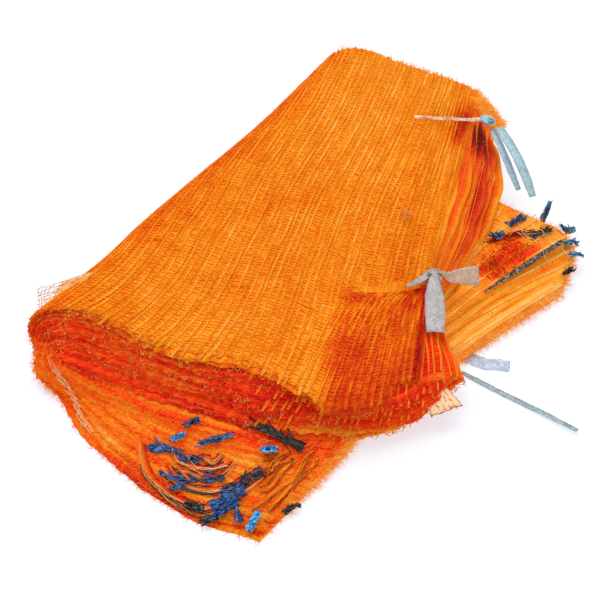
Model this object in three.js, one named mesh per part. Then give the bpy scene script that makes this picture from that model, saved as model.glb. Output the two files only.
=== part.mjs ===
// A pack of flat, empty knitted net bags with drawstrings. The bags lie in one stack, folded over itself
// along an oblique line at the left, and three tapes through the stack's free edge tie the pack together.
// Millimetres, +Z up. The stack rests on z = 0 and the origin is the bottom centre of its box.
import * as THREE from "three";

const { lerp, clamp, smoothstep, degToRad } = THREE.MathUtils;
const place = (x, y) => new THREE.Vector2(x, y);

// Plan of the folded stack: x to the right, y from the front to the back.
const FOLD_FRONT = place(-195, 179);
const FOLD_BACK = place(16, 486);
const MOUTH_FRONT = place(-31, 15);
const MOUTH_BACK = place(212, 262);
const MOUTH_HOLLOW = 16;
const FLAP_FRONT = place(82, 122);
const FLAP_AT_TIE = place(95, 222);
const FLAP_BACK = place(143, 432);

// Heights of the stack's top, and of the face where the upper and the lower half meet.
const TOP_FOLD_FRONT = 76;
const TOP_FOLD_BACK = 92;
const TOP_FLAP_FRONT = 43;
const TOP_FLAP_BACK = 70;
const TOP_EASE = 1.2;
const FOLD_SHARE = 0.5;
const MEET_FRONT = 18;
const MEET_BACK = 35;
const MOUTH_HIGH = 10;
const MOUTH_FULL_FRONT = 4;
const MOUTH_FULL_BACK = 10;
const RISE_REACH = 70;

// Roundness of the fold, and how far the ends bow and the layers step back from each other.
const FOLD_ROUND = 46;
const FOLD_INSET = 30;
const FLAP_BOW = 38;
const FLAP_BOW_SKEW = 1.6;
const LOWER_FRONT_BOW = 14;
const LOWER_BACK_BOW = 30;
const LOWER_BACK_SKEW = 8;
const FRONT_EASE = 2;
const BACK_EASE = 4;
const FAN = 0.27;

// Rows of points from front to back, the two ties' places among them along the flap's free edge, and how far
// the layers spread there and between them.
const ROWS = 15;
const MIDDLE_TIE = 5 / ROWS;
const BACK_TIE = 14 / ROWS;
const SPREAD_FRONT = 28;
const SPREAD_TIE = 5;
const SPREAD_BULGE = 34;
const SPREAD_BACK = 16;
const BULGE_FULLNESS = 0.8;
const TIE_DENT = 9;
const TIE_DENT_LONG = 0.05;
const TIE_DENT_WIDE = 0.25;

// The stack is drawn as six layers of bags, each one solid bent round the fold.
const LAYERS = 6;
const LAYER_GAP = 0.036;
const INNERMOST = 0.97;
const FLAP_COLUMNS = 14;
const LOWER_COLUMNS = 12;
const FOLD_CROWDING = 1.5;
const END_STEP = 0.013;
const END_WAVE = 0.006;
const END_WAVES = 2;
const SEED = 7;

// Tapes: the drawstring and the ties.
const DRAWSTRING_WIDE = 5;
const TAPE_THICK = 1;
const CLEAR = 0.4;
const UNDER_FLAP = 1;
const TAPE_STEP = 6;
const DRAPE_STEP = 2;
const DROOP = 5;
const TAIL_STEPS = 14;

const NET_COLOURS = [0xf78a1c, 0xf27c14, 0xea6a0e, 0xe0590a, 0xd54a08, 0xc93e06];
const DRAWSTRING_COLOUR = 0x24479a;
const TIE_COLOUR = 0xc4cdd2;

// Drawstring ends at the lower half's front end: x, y, heading in degrees and length.
const FRONT_ENDS = [
  [-75, 108, 15, 10], [-85, 98, 14, 11], [-54, 97, 14, 25], [-93, 91, -22, 24], [-70, 84, -13, 13],
  [-84, 73, -18, 27], [-57, 72, 8, 15], [-83, 59, 12, 11], [-36, 70, 29, 28], [-43, 58, 28, 26],
  [-61, 47, 8, 14], [-42, 43, 33, 19], [-71, 42, -25, 15], [-60, 34, 14, 11], [-32, 34, -68, 12],
  [-21, 26, -115, 16], [-21, 83, 6, 11], [-10, 94, -29, 30], [-5, 41, 40, 11],
];

// Drawstring ends at the lower half's back end.
const BACK_ENDS = [
  [191, 334, 59, 16], [169, 316, 37, 17], [152, 298, 40, 13], [187, 306, 30, 20], [209, 315, 8, 12],
  [211, 301, 30, 13], [214, 289, 20, 13], [206, 272, 42, 10],
];

// The one drawstring that shows along a mouth.
const MOUTH_STRIP = [168, 266, 41, 86];

// Tie tapes that lie on the pack or on the floor: x, y, heading in degrees, length and width.
const BACK_STRAP = [117, 394, 2, 52, 4];
const MIDDLE_STRAP = [80, 216, 28, 16, 6];
const MIDDLE_TAIL_DOWN = [97, 196, -92, 46, 13];
const MIDDLE_TAIL_SIDE = [118, 231, 4, 28, 11];
const FRONT_TAIL_SHORT = [141, 185, -9, 26, 10];

// Knots: middle and size.
const BACK_KNOT = { middle: [150, 394, 69], size: [9, 7, 7] };
const MIDDLE_KNOT = { middle: [97, 226, 50], size: [10, 9, 8] };

// Widths and routes of the tie tails that hang or lie free.
const BACK_TAIL_NEAR_WIDE = 6;
const BACK_TAIL_FAR_WIDE = 8;
const FLOOR_TAIL_WIDE = 4.4;
const BACK_TAIL_NEAR = [[153.6, 390, 63], [158, 381, 58], [163, 370, 51], [168, 359, 43], [173, 348, 35]];
const BACK_TAIL_FAR = [[158.5, 389, 66], [165, 376, 62], [172, 363, 55], [178, 350, 46], [183, 337, 37]];
const FLOOR_TAIL_LONG = [[118, 176, 1.6], [137, 161, 1.4], [157, 146, 1.6], [176, 131, 2.6], [195, 115, 4]];

function mixPlaces(from, to, share) {
  return from.clone().lerp(to, share);
}

const foldAxis = FOLD_BACK.clone().sub(FOLD_FRONT).normalize();
const inward = place(foldAxis.y, -foldAxis.x);
const foldLong = FOLD_FRONT.distanceTo(FOLD_BACK);

function hump(share) {
  return Math.sin(Math.PI * clamp(share, 0, 1));
}

// Crease of one layer: deeper layers turn closer to the inside of the fold.
function creaseAt(along, depth) {
  return mixPlaces(FOLD_FRONT, FOLD_BACK, along).addScaledVector(inward, FOLD_INSET * depth);
}

function mouthAt(along) {
  return mixPlaces(MOUTH_FRONT, MOUTH_BACK, along).addScaledVector(inward, -MOUTH_HOLLOW * hump(along));
}

// How far the deepest layer of the flap stands out past the top one.
function spreadAt(along) {
  if (along < MIDDLE_TIE) {
    return lerp(SPREAD_FRONT, SPREAD_TIE, smoothstep(along, 0, MIDDLE_TIE));
  }
  const between = clamp((along - MIDDLE_TIE) / (BACK_TIE - MIDDLE_TIE), 0, 1);
  const base = lerp(SPREAD_TIE, SPREAD_BACK, smoothstep(between, 0, 1));
  return base + (SPREAD_BULGE - SPREAD_TIE) * hump(between) ** BULGE_FULLNESS;
}

function flapEdgeAt(along, depth) {
  const edge =
    along < MIDDLE_TIE
      ? mixPlaces(FLAP_FRONT, FLAP_AT_TIE, along / MIDDLE_TIE)
      : mixPlaces(FLAP_AT_TIE, FLAP_BACK, (along - MIDDLE_TIE) / (1 - MIDDLE_TIE));
  edge.x += spreadAt(along) * depth;
  return edge;
}

// Height of the face between the two halves: high at the fold, thin at the mouths.
function meetingHeight(plan) {
  const fromFold = plan.clone().sub(FOLD_FRONT);
  const along = clamp(fromFold.dot(foldAxis) / foldLong, 0, 1);
  const inside = fromFold.dot(inward);
  const reach = mouthAt(along).sub(FOLD_FRONT).dot(inward);
  const share = clamp(inside / reach, 0, 1);
  const flat = lerp(MEET_FRONT, MEET_BACK, along);
  const fullness = lerp(MOUTH_FULL_FRONT, MOUTH_FULL_BACK, along);
  const body = MOUTH_HIGH + (flat - MOUTH_HIGH) * (1 - share ** fullness);
  const crown = FOLD_SHARE * lerp(TOP_FOLD_FRONT, TOP_FOLD_BACK, along);
  return lerp(crown, body, smoothstep(inside, 0, RISE_REACH));
}

// Share of the full thickness at a distance from the fold's crease.
function roundedShare(distance) {
  const near = clamp(1 - distance / FOLD_ROUND, 0, 1);
  return Math.sqrt(1 - near ** 2);
}

// Depth of the crease that the middle tie pulls into the top.
function tieDent(across, along) {
  const off = (along - MIDDLE_TIE) / TIE_DENT_LONG;
  return TIE_DENT * Math.exp(-(off ** 2)) * Math.max(1 - across / TIE_DENT_WIDE, 0);
}

// A place on the upper half: across runs from the free edge (0) to the fold (1).
function flapPoint(across, along, depth) {
  const crease = creaseAt(along, depth);
  const edge = flapEdgeAt(along, depth);
  const plan = mixPlaces(edge, crease, across);
  plan.y -= FLAP_BOW * hump((1 - across) ** FLAP_BOW_SKEW) * Math.max(1 - along, 0) ** FRONT_EASE;
  const near = lerp(TOP_FLAP_FRONT, TOP_FLAP_BACK, along);
  const far = lerp(TOP_FOLD_FRONT, TOP_FOLD_BACK, along);
  const top = lerp(near, far, across ** TOP_EASE) - tieDent(across, along);
  const meet = meetingHeight(plan);
  const lift = (1 - depth) * (top - meet) * roundedShare((1 - across) * edge.distanceTo(crease));
  return new THREE.Vector3(plan.x, plan.y, meet + lift);
}

// A place on the lower half: across runs from the fold (0) to the mouths (1).
function lowerPoint(across, along, depth) {
  const crease = creaseAt(along, depth);
  const mouth = mouthAt(along);
  const plan = mixPlaces(crease, mouth, across);
  const back = LOWER_BACK_BOW * hump(across ** LOWER_BACK_SKEW) * Math.max(along, 0) ** BACK_EASE;
  const front = LOWER_FRONT_BOW * hump(across) * Math.max(1 - along, 0) ** FRONT_EASE;
  plan.addScaledVector(foldAxis, back - front);
  const meet = meetingHeight(plan);
  const drop = (1 - depth) * meet * roundedShare(across * crease.distanceTo(mouth));
  return new THREE.Vector3(plan.x, plan.y, meet - drop);
}

// Repeatable random numbers from 0 to 1.
function seededRandom(seed) {
  let state = seed;
  return () => {
    state = (state * 1664525 + 1013904223) % 4294967296;
    return state / 4294967296;
  };
}

// Closed solid between two grids of points that have the same rows and columns.
function slabGeometry(outer, inner) {
  const columns = outer.length;
  const rows = outer[0].length;
  const points = [...outer.flat(), ...inner.flat()];
  const at = (side, c, r) => side * columns * rows + c * rows + r;
  const faces = [];
  const quad = (a, b, c, d) => faces.push(a, b, c, a, c, d);
  for (let c = 0; c + 1 < columns; c++) {
    for (let r = 0; r + 1 < rows; r++) {
      quad(at(0, c, r), at(0, c, r + 1), at(0, c + 1, r + 1), at(0, c + 1, r));
      quad(at(1, c, r), at(1, c + 1, r), at(1, c + 1, r + 1), at(1, c, r + 1));
    }
  }
  for (let c = 0; c + 1 < columns; c++) {
    quad(at(0, c, 0), at(0, c + 1, 0), at(1, c + 1, 0), at(1, c, 0));
    quad(at(0, c, rows - 1), at(1, c, rows - 1), at(1, c + 1, rows - 1), at(0, c + 1, rows - 1));
  }
  for (let r = 0; r + 1 < rows; r++) {
    quad(at(0, 0, r), at(1, 0, r), at(1, 0, r + 1), at(0, 0, r + 1));
    quad(at(0, columns - 1, r), at(0, columns - 1, r + 1), at(1, columns - 1, r + 1), at(1, columns - 1, r));
  }
  const geometry = new THREE.BufferGeometry().setFromPoints(points);
  geometry.setIndex(faces);
  geometry.computeVertexNormals();
  return geometry;
}

// One face of a layer, as columns from the flap's free edge round the fold to the mouths. Its two cut ends
// stand a step out or back, with a slight wave.
function layerFace(depth, ends) {
  const wave = (share) => END_WAVE * Math.sin(2 * Math.PI * (END_WAVES * share + ends.phase));
  const rows = (first, turn) =>
    Array.from({ length: ROWS + 1 }, (_, r) => {
      const along = lerp(first, 1, r / ROWS);
      if (r === 0) {
        return along + ends.front + wave(turn);
      }
      return r === ROWS ? along + ends.back - wave(turn) : along;
    });
  const flap = Array.from({ length: FLAP_COLUMNS + 1 }, (_, c) => {
    const across = 1 - (1 - c / FLAP_COLUMNS) ** FOLD_CROWDING;
    return rows(0, across).map((along) => flapPoint(across, along, depth));
  });
  const lower = Array.from({ length: LOWER_COLUMNS }, (_, c) => {
    const across = ((c + 1) / LOWER_COLUMNS) ** FOLD_CROWDING;
    return rows(FAN * depth * across, 1 + across).map((along) => lowerPoint(across, along, depth));
  });
  return [...flap, ...lower];
}

function layerGeometry(index, random) {
  const outerDepth = index === 0 ? 0 : (index / LAYERS) * INNERMOST + LAYER_GAP / 2;
  const innerDepth = ((index + 1) / LAYERS) * INNERMOST - LAYER_GAP / 2;
  const ends = {
    front: END_STEP * (2 * random() - 1),
    back: END_STEP * (2 * random() - 1),
    phase: random(),
  };
  return slabGeometry(layerFace(outerDepth, ends), layerFace(innerDepth, ends));
}

// A flat tape along a path: its width lies level, square to the path.
function tapeGeometry(path, wide) {
  const upperFace = [[], []];
  const lowerFace = [[], []];
  path.forEach((point, i) => {
    const before = path[Math.max(i - 1, 0)];
    const after = path[Math.min(i + 1, path.length - 1)];
    const ahead = after.clone().sub(before).normalize();
    const side = new THREE.Vector3(ahead.y, -ahead.x, 0).normalize();
    const up = side.clone().cross(ahead).normalize();
    [-0.5, 0.5].forEach((edge, k) => {
      const rim = point.clone().addScaledVector(side, edge * wide);
      upperFace[k].push(rim.clone().addScaledVector(up, TAPE_THICK / 2));
      lowerFace[k].push(rim.clone().addScaledVector(up, -TAPE_THICK / 2));
    });
  });
  return slabGeometry(lowerFace, upperFace);
}

function clothMaterial(color) {
  return new THREE.MeshStandardMaterial({ color, roughness: 0.75, metalness: 0 });
}

function named(name, geometry, color) {
  const mesh = new THREE.Mesh(geometry, clothMaterial(color));
  mesh.name = name;
  return mesh;
}

const pack = new THREE.Group();
const random = seededRandom(SEED);
const layers = NET_COLOURS.slice(0, LAYERS).map((color, i) =>
  named(`bag_layer_${i + 1}`, layerGeometry(i, random), color),
);
pack.add(...layers);

// Height of the stack's surface below a place, or the floor where nothing lies there.
function surfaceBelow(x, y, from) {
  const ray = new THREE.Raycaster(new THREE.Vector3(x, y, from), new THREE.Vector3(0, 0, -1));
  const hits = ray.intersectObjects(layers);
  return hits.length ? hits[0].point.z : 0;
}

// Path of a straight tape laid on what is below it, clear of every edge that it crosses. An end that stands
// out past the surface droops only a little.
function laidPath([x, y, heading, long], wide, fromHeight) {
  const ahead = place(Math.cos(degToRad(heading)), Math.sin(degToRad(heading)));
  const aside = place(-ahead.y, ahead.x);
  const heightNear = (reach) => {
    let highest = 0;
    for (let near = -DRAPE_STEP * 2; near <= DRAPE_STEP * 2; near += DRAPE_STEP) {
      for (const edge of [-0.5, -0.25, 0, 0.25, 0.5]) {
        const spot = place(x, y).addScaledVector(ahead, reach + near).addScaledVector(aside, edge * wide);
        highest = Math.max(highest, surfaceBelow(spot.x, spot.y, fromHeight(spot)));
      }
    }
    return highest;
  };
  const steps = Math.max(2, Math.round(long / TAPE_STEP));
  const reaches = Array.from({ length: steps + 1 }, (_, i) => lerp(-long / 2, long / 2, i / steps));
  const heights = reaches.map(heightNear);
  const lowest = Math.max(...heights) - DROOP;
  return reaches.map((reach, i) => {
    const spot = place(x, y).addScaledVector(ahead, reach);
    return new THREE.Vector3(spot.x, spot.y, Math.max(heights[i], lowest) + CLEAR + TAPE_THICK / 2);
  });
}

const aboveAll = () => TOP_FOLD_BACK * 2;
const onFloor = () => CLEAR;
const underFlap = (spot) => meetingHeight(spot) + UNDER_FLAP;

function drawstringEnd(name, row, fromHeight) {
  const path = laidPath(row, DRAWSTRING_WIDE, fromHeight);
  return named(name, tapeGeometry(path, DRAWSTRING_WIDE), DRAWSTRING_COLOUR);
}

function numbered(prefix, index) {
  return `${prefix}_${String(index + 1).padStart(2, "0")}`;
}

pack.add(...FRONT_ENDS.map((row, i) => drawstringEnd(numbered("drawstring_front", i), row, underFlap)));
pack.add(...BACK_ENDS.map((row, i) => drawstringEnd(numbered("drawstring_back", i), row, aboveAll)));
pack.add(drawstringEnd("drawstring_mouth_strip", MOUTH_STRIP, aboveAll));

function tieTape(name, row, fromHeight = aboveAll) {
  const wide = row[4];
  return named(name, tapeGeometry(laidPath(row, wide, fromHeight), wide), TIE_COLOUR);
}

// A tie's knot: a small rounded lump on the stack's surface.
function tieKnot(name, knot) {
  const geometry = new THREE.IcosahedronGeometry(0.5, 1);
  geometry.deleteAttribute("uv");
  geometry.scale(...knot.size);
  geometry.translate(...knot.middle);
  return named(name, geometry, TIE_COLOUR);
}

// A free tail: a tape of eight-sided section along a smooth curve.
function tieTail(name, points, wide) {
  const curve = new THREE.CatmullRomCurve3(points.map((p) => new THREE.Vector3(...p)));
  const section = new THREE.Shape();
  const corner = TAPE_THICK / 4;
  section.moveTo(-corner, -wide / 2);
  section.lineTo(corner, -wide / 2);
  section.lineTo(2 * corner, -wide / 2 + corner);
  section.lineTo(2 * corner, wide / 2 - corner);
  section.lineTo(corner, wide / 2);
  section.lineTo(-corner, wide / 2);
  section.lineTo(-2 * corner, wide / 2 - corner);
  section.lineTo(-2 * corner, -wide / 2 + corner);
  section.closePath();
  const options = { steps: TAIL_STEPS, extrudePath: curve, bevelEnabled: false };
  const geometry = new THREE.ExtrudeGeometry(section, options);
  return named(name, geometry, TIE_COLOUR);
}

pack.add(tieTape("tie_back_strap", BACK_STRAP));
pack.add(tieKnot("tie_back_knot", BACK_KNOT));
pack.add(tieTail("tie_back_tail_near", BACK_TAIL_NEAR, BACK_TAIL_NEAR_WIDE));
pack.add(tieTail("tie_back_tail_far", BACK_TAIL_FAR, BACK_TAIL_FAR_WIDE));
pack.add(tieTape("tie_middle_strap", MIDDLE_STRAP));
pack.add(tieKnot("tie_middle_knot", MIDDLE_KNOT));
pack.add(tieTape("tie_middle_tail_down", MIDDLE_TAIL_DOWN));
pack.add(tieTape("tie_middle_tail_side", MIDDLE_TAIL_SIDE));
pack.add(tieTape("tie_front_tail_short", FRONT_TAIL_SHORT, onFloor));
pack.add(tieTail("tie_front_tail_long", FLOOR_TAIL_LONG, FLOOR_TAIL_WIDE));

// The origin goes to the bottom centre of the pack without its free tails.
const FREE_TAILS = ["tie_back_tail_near", "tie_back_tail_far", "tie_front_tail_long"];
const box = new THREE.Box3();
pack.children
  .filter((mesh) => !FREE_TAILS.includes(mesh.name))
  .forEach((mesh) => box.union(new THREE.Box3().setFromObject(mesh)));
const middle = box.getCenter(new THREE.Vector3());
pack.position.set(-middle.x, -middle.y, -box.min.z);

export default pack;
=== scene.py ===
"""Looks of a tied pack of knitted net bags with drawstrings, in metres and in the part's own frame."""

import logging
import math
from collections.abc import Callable
from dataclasses import dataclass, field
from enum import Enum
from functools import partial

import bmesh
import bpy
import numpy as np
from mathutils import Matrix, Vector


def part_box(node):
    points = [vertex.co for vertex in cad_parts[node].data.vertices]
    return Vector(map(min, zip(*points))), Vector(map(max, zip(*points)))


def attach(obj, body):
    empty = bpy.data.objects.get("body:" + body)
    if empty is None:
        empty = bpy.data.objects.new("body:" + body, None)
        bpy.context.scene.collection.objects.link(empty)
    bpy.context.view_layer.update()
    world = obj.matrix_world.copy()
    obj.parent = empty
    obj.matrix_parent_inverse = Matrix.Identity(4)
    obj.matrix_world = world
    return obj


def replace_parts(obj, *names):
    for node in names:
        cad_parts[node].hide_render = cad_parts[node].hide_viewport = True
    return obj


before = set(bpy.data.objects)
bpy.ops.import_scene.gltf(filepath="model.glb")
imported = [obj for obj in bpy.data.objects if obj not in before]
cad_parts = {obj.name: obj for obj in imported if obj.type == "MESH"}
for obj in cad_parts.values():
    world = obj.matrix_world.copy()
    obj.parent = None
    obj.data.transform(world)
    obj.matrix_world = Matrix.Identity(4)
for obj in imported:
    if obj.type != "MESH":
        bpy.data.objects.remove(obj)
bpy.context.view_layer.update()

LOG = logging.getLogger("net_bags")
MM = 0.001
SEED = 20
BODY = "root"
NET_SLOT = "net_orange"
FLOOR_GAP = 0.5 * MM
CLOTH_THICK = 0.4 * MM
FILM_THICK = 0.2 * MM

# The plan's own origin in the part's frame, found from one knot whose place in the plan is known.
KNOT_NODE = "tie_back_knot"
KNOT_IN_PLAN = (150, 394, 69)
PLAN_ORIGIN = np.array(sum(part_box(KNOT_NODE), Vector()) / 2) - np.array(KNOT_IN_PLAN) * MM

Array = np.ndarray
Pair = tuple[float, float]
Point = tuple[float, float, float]
Floats = tuple[float, ...]
Stops = tuple[tuple[float, Point], ...]
Random = np.random.Generator
Material = bpy.types.Material
Piece = bpy.types.Object


def lerp(start: Array | float, end: Array | float, share: Array | float) -> Array | float:
    """Value between start and end."""
    return start + (end - start) * share


def smooth_step(value: Array, low: float, high: float) -> Array:
    """Smooth rise from 0 at low to 1 at high."""
    share = np.clip((value - low) / (high - low), 0, 1)
    return share * share * (3 - 2 * share)


def hump(share: Array) -> Array:
    """Half a sine wave over shares from 0 to 1."""
    return np.sin(np.pi * np.clip(share, 0, 1))


def bell(value: Array, at: float | Array, wide: float | Array) -> Array:
    """Bell curve of height 1 round a value."""
    return np.exp(-(((value - at) / wide) ** 2))


def swells(value: Array, each: tuple[Point, ...]) -> Array:
    """Sum of bell curves, each given as size, middle and width."""
    return sum(size * bell(value, at, wide) for size, at, wide in each)


def bilinear(table: Array, row: Array, column: Array) -> Array:
    """Vectors of a table between its cells.

    Args:
        table: Rows by columns of vectors.
        row: Row numbers, with fractions.
        column: Column numbers, with fractions.

    Returns:
        One vector for each pair of numbers.
    """
    r = np.minimum(row.astype(int), table.shape[0] - 2)
    c = np.minimum(column.astype(int), table.shape[1] - 2)
    part = (column - c)[..., None]
    near = lerp(table[r, c], table[r, c + 1], part)
    far = lerp(table[r + 1, c], table[r + 1, c + 1], part)
    return lerp(near, far, (row - r)[..., None])


def unit(vectors: Array) -> Array:
    """Vectors brought to length 1."""
    return vectors / np.maximum(np.linalg.norm(vectors, axis=-1, keepdims=True), 1e-12)


def between(start: Pair, end: Pair, share: Array) -> Array:
    """Plan places between two places."""
    start, end = np.array([start, end], float)
    return lerp(start, end, share[..., None])


def to_frame(plan_points: Array) -> Array:
    """Points of the plan, in millimetres, as points of the part's frame, in metres."""
    return np.asarray(plan_points, float) * MM + PLAN_ORIGIN


@dataclass(frozen=True)
class StackPlan:
    """The folded stack in millimetres: x to the right, y to the back, z up.

    Pairs of heights are those at the front and at the back. Hollows, notches and swells are given as size,
    middle and width.
    """

    fold_front: Pair = (-195, 179)
    fold_back: Pair = (16, 486)
    mouth_front: Pair = (-29.4, 14)
    mouth_back: Pair = (206, 266)
    mouth_hollow: float = 13.5
    mouth_notches: tuple[Point, ...] = ((5, 0.37, 0.06),)
    flap_front: Pair = (82, 122)
    flap_at_tie: Pair = (95, 222)
    flap_back: Pair = (143, 432)
    top_at_fold: Pair = (76, 92)
    top_at_edge: Pair = (43, 70)
    top_ease: float = 1.2
    fold_share: float = 0.5
    meet: Pair = (18, 35)
    mouth_high: float = 10
    mouth_full: Pair = (4, 10)
    rise_reach: float = 70
    fold_round: float = 46
    fold_inset: float = 30
    fold_hollows: tuple[Point, ...] = ((4, 0.2, 0.13), (6.7, 0.7, 0.33))
    flap_bow: float = 38
    flap_bow_skew: float = 1.6
    lower_front_bow: float = 14.5
    lower_front_skew: float = 1.45
    outer_reach: float = 9
    outer_ease: float = 1.5
    outer_from: float = 0.06
    outer_swells: tuple[Point, ...] = (
        (0.5, 0.03, 0.05), (-0.4, 0.16, 0.07), (0.45, 0.4, 0.11), (-0.2, 0.7, 0.12),
    )
    lower_back_bow: float = 30
    lower_back_skew: float = 8
    front_ease: float = 2
    back_ease: float = 4
    fan: float = 0.27
    middle_tie: float = 5 / 15
    back_tie: float = 14 / 15
    spread_front: float = 31
    spread_tie: float = 5
    spread_bulge: float = 29
    spread_back: float = 17.5
    spread_tuft: float = 8
    bulge_fullness: float = 0.8
    tie_dent: float = 9
    tie_dent_long: float = 0.05
    tie_dent_wide: float = 0.25
    tuck_start: Pair = (94, 228)
    tuck_end: Pair = (32, 194)
    tuck_deep: float = 4.5
    tuck_long: float = 16
    tuck_sharp: float = 1.2
    tuck_line: float = 1.9
    tuck_groove: float = 0.7
    # Painted shade in front of the tuck, longest near the tie, and a painted dark line along the crease.
    tuck_shade: float = 7
    tuck_tones: Pair = (0.7, 0.3)
    tuck_line_shade: float = 0.6
    lump_high: float = 1.1
    lump_waves: tuple[Floats, ...] = ((1, 0, 23, 61, 31, -47), (0.45, 1.3, 9.5, -17, 12.5, 29))
    hang: float = 7
    hang_from: float = 0.015
    hang_long: float = 0.035
    hang_most: float = 2.5
    hang_ease: float = 1.6
    hang_inner: float = 0.85
    hang_across: Pair = (0.06, 0.3)
    bundle_wide: float = 8
    bundle_high: float = 2.4
    bundle_low: float = 0.6
    bundle_reach: float = 80
    bundle_fade: float = 25
    bundle_rows: Pair = (0.25, 0.45)
    bundle_depths: Pair = (0.75, 0.97)
    pocket: Pair = (156, 280)
    pocket_long: float = 26
    pocket_wide: float = 13
    mouth_line: Pair = (0.75, 0.66)

    @property
    def axis(self) -> Array:
        """Direction of the fold, from front to back."""
        return unit(np.subtract(self.fold_back, self.fold_front).astype(float))

    @property
    def inward(self) -> Array:
        """Level direction square to the fold, towards the stack's inside."""
        return np.array([self.axis[1], -self.axis[0]])

    def crease(self, along: Array, depth: Array) -> Array:
        """Plan places of a leaf's crease: deeper leaves turn closer to the fold's inside."""
        inset = self.fold_inset * depth + swells(along, self.fold_hollows)
        return between(self.fold_front, self.fold_back, along) + self.inward * inset[..., None]

    def mouth(self, along: Array) -> Array:
        """Plan places of the mouths' line."""
        hollow = self.mouth_hollow * hump(along) + swells(along, self.mouth_notches)
        return between(self.mouth_front, self.mouth_back, along) - self.inward * hollow[..., None]

    def spread(self, along: Array) -> Array:
        """How far the deepest leaf of the flap stands out past the top one.

        Args:
            along: Shares from the front end (0) to the back end (1).

        Returns:
            Distances.
        """
        front = lerp(self.spread_front, self.spread_tie, smooth_step(along, 0, self.middle_tie))
        share = np.clip((along - self.middle_tie) / (self.back_tie - self.middle_tie), 0, 1)
        base = lerp(self.spread_tie, self.spread_back, smooth_step(share, 0, 1))
        bulge = (self.spread_bulge - self.spread_tie) * np.maximum(hump(share), 0) ** self.bulge_fullness
        tuft = self.spread_tuft * smooth_step(along, self.back_tie, 1)
        return np.where(along < self.middle_tie, front, base + bulge + tuft)

    def edge(self, along: Array, depth: float, terrace: float) -> Array:
        """Plan places of a leaf's free edge: in front of the tie, layers step out like terraces."""
        before = between(self.flap_front, self.flap_at_tie, along / self.middle_tie)
        after = between(self.flap_at_tie, self.flap_back, (along - self.middle_tie) / (1 - self.middle_tie))
        places = np.where((along < self.middle_tie)[..., None], before, after)
        places[..., 0] += self.spread(along) * np.where(along < self.middle_tie, terrace, depth)
        return places

    def meeting_height(self, plan: Array) -> Array:
        """Height of the face between the two halves.

        Args:
            plan: Plan places.

        Returns:
            Heights.
        """
        from_fold = plan - np.array(self.fold_front, float)
        fold_long = math.dist(self.fold_front, self.fold_back)
        along = np.clip(from_fold @ self.axis / fold_long, 0, 1)
        inside = from_fold @ self.inward
        reach = (self.mouth(along) - np.array(self.fold_front, float)) @ self.inward
        share = np.clip(inside / reach, 0, 1)
        flat = lerp(*self.meet, along)
        body = self.mouth_high + (flat - self.mouth_high) * (1 - share ** lerp(*self.mouth_full, along))
        crown = self.fold_share * lerp(*self.top_at_fold, along)
        return lerp(crown, body, smooth_step(inside, 0, self.rise_reach))

    def rounded(self, distance: Array) -> Array:
        """Share of the full thickness at a distance from the crease."""
        near = np.clip(1 - distance / self.fold_round, 0, 1)
        return np.sqrt(1 - near**2)

    def dent(self, plan: Array, across: Array, along: Array) -> Array:
        """Depth of the dent and of the narrow tuck that the middle tie pulls into the top."""
        dent = self.tie_dent * bell(along, self.middle_tie, self.tie_dent_long)
        return dent * np.maximum(1 - across / self.tie_dent_wide, 0) + self.tuck_deep * self.tuck(plan)[0]

    def tuck(self, plan: Array) -> tuple[Array, Array]:
        """Step that the middle tie pulls into the top, lower at its front side and fading to the left.

        Args:
            plan: Plan places.

        Returns:
            Shares of the step's full depth, and of the shade under it.
        """
        line = np.subtract(self.tuck_end, self.tuck_start).astype(float)
        from_tie = plan - np.array(self.tuck_start, float)
        share = from_tie @ line / (line @ line)
        ahead = from_tie @ np.array([-line[1], line[0]]) / np.linalg.norm(line)
        fade = np.clip(1 - share, 0, 1) * np.clip(1 + 3 * share, 0, 1)
        rise = smooth_step(ahead, -self.tuck_sharp, self.tuck_sharp)
        beyond = np.maximum(ahead, 0)
        shade_long = self.tuck_shade * (1 + 2 * np.clip(1 - 2 * share, 0, 1))
        shade = lerp(*self.tuck_tones, np.clip(2 * share, 0, 1)) * bell(beyond, 0, shade_long)
        shade = shade + self.tuck_line_shade * bell(beyond, 0, self.tuck_line)
        groove = self.tuck_groove * bell(ahead, 0, self.tuck_line)
        return (rise * np.exp(-beyond / self.tuck_long) + groove) * fade, rise * shade * fade**0.5

    def bundles(self, plan: Array, along: Array) -> Array:
        """Height of the rounded bundles that the top bags of the lower half form near their mouths."""
        from_mouth = (self.mouth(along) - plan) @ self.inward
        wave = np.abs(np.sin(np.pi * (from_mouth / self.bundle_wide + 0.5 * np.sin(5 * along))))
        near = smooth_step(self.bundle_reach - from_mouth, 0, self.bundle_fade)
        return self.bundle_high * (wave - self.bundle_low) * near * smooth_step(along, *self.bundle_rows)

    def in_pocket(self, plan: Array) -> Array:
        """Share of being in the open mouth at the back of the lower half, which is painted deep red as
        shade.
        """
        off = plan - np.array(self.pocket, float)
        way = unit(np.array(self.mouth_line))
        long = off @ way / self.pocket_long
        wide = (off[..., 1] * way[0] - off[..., 0] * way[1]) / self.pocket_wide
        return np.exp(-((long**2 + wide**2) ** 2))

    def lumps(self, plan: Array) -> Array:
        """Low swells of the flap's top, each wave as size, shift and four lengths."""
        x, y = plan[..., 0], plan[..., 1]
        return self.lump_high * sum(
            size * np.sin(x / a + y / b + shift) * np.sin(y / c + x / d)
            for size, shift, a, b, c, d in self.lump_waves
        )

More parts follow.
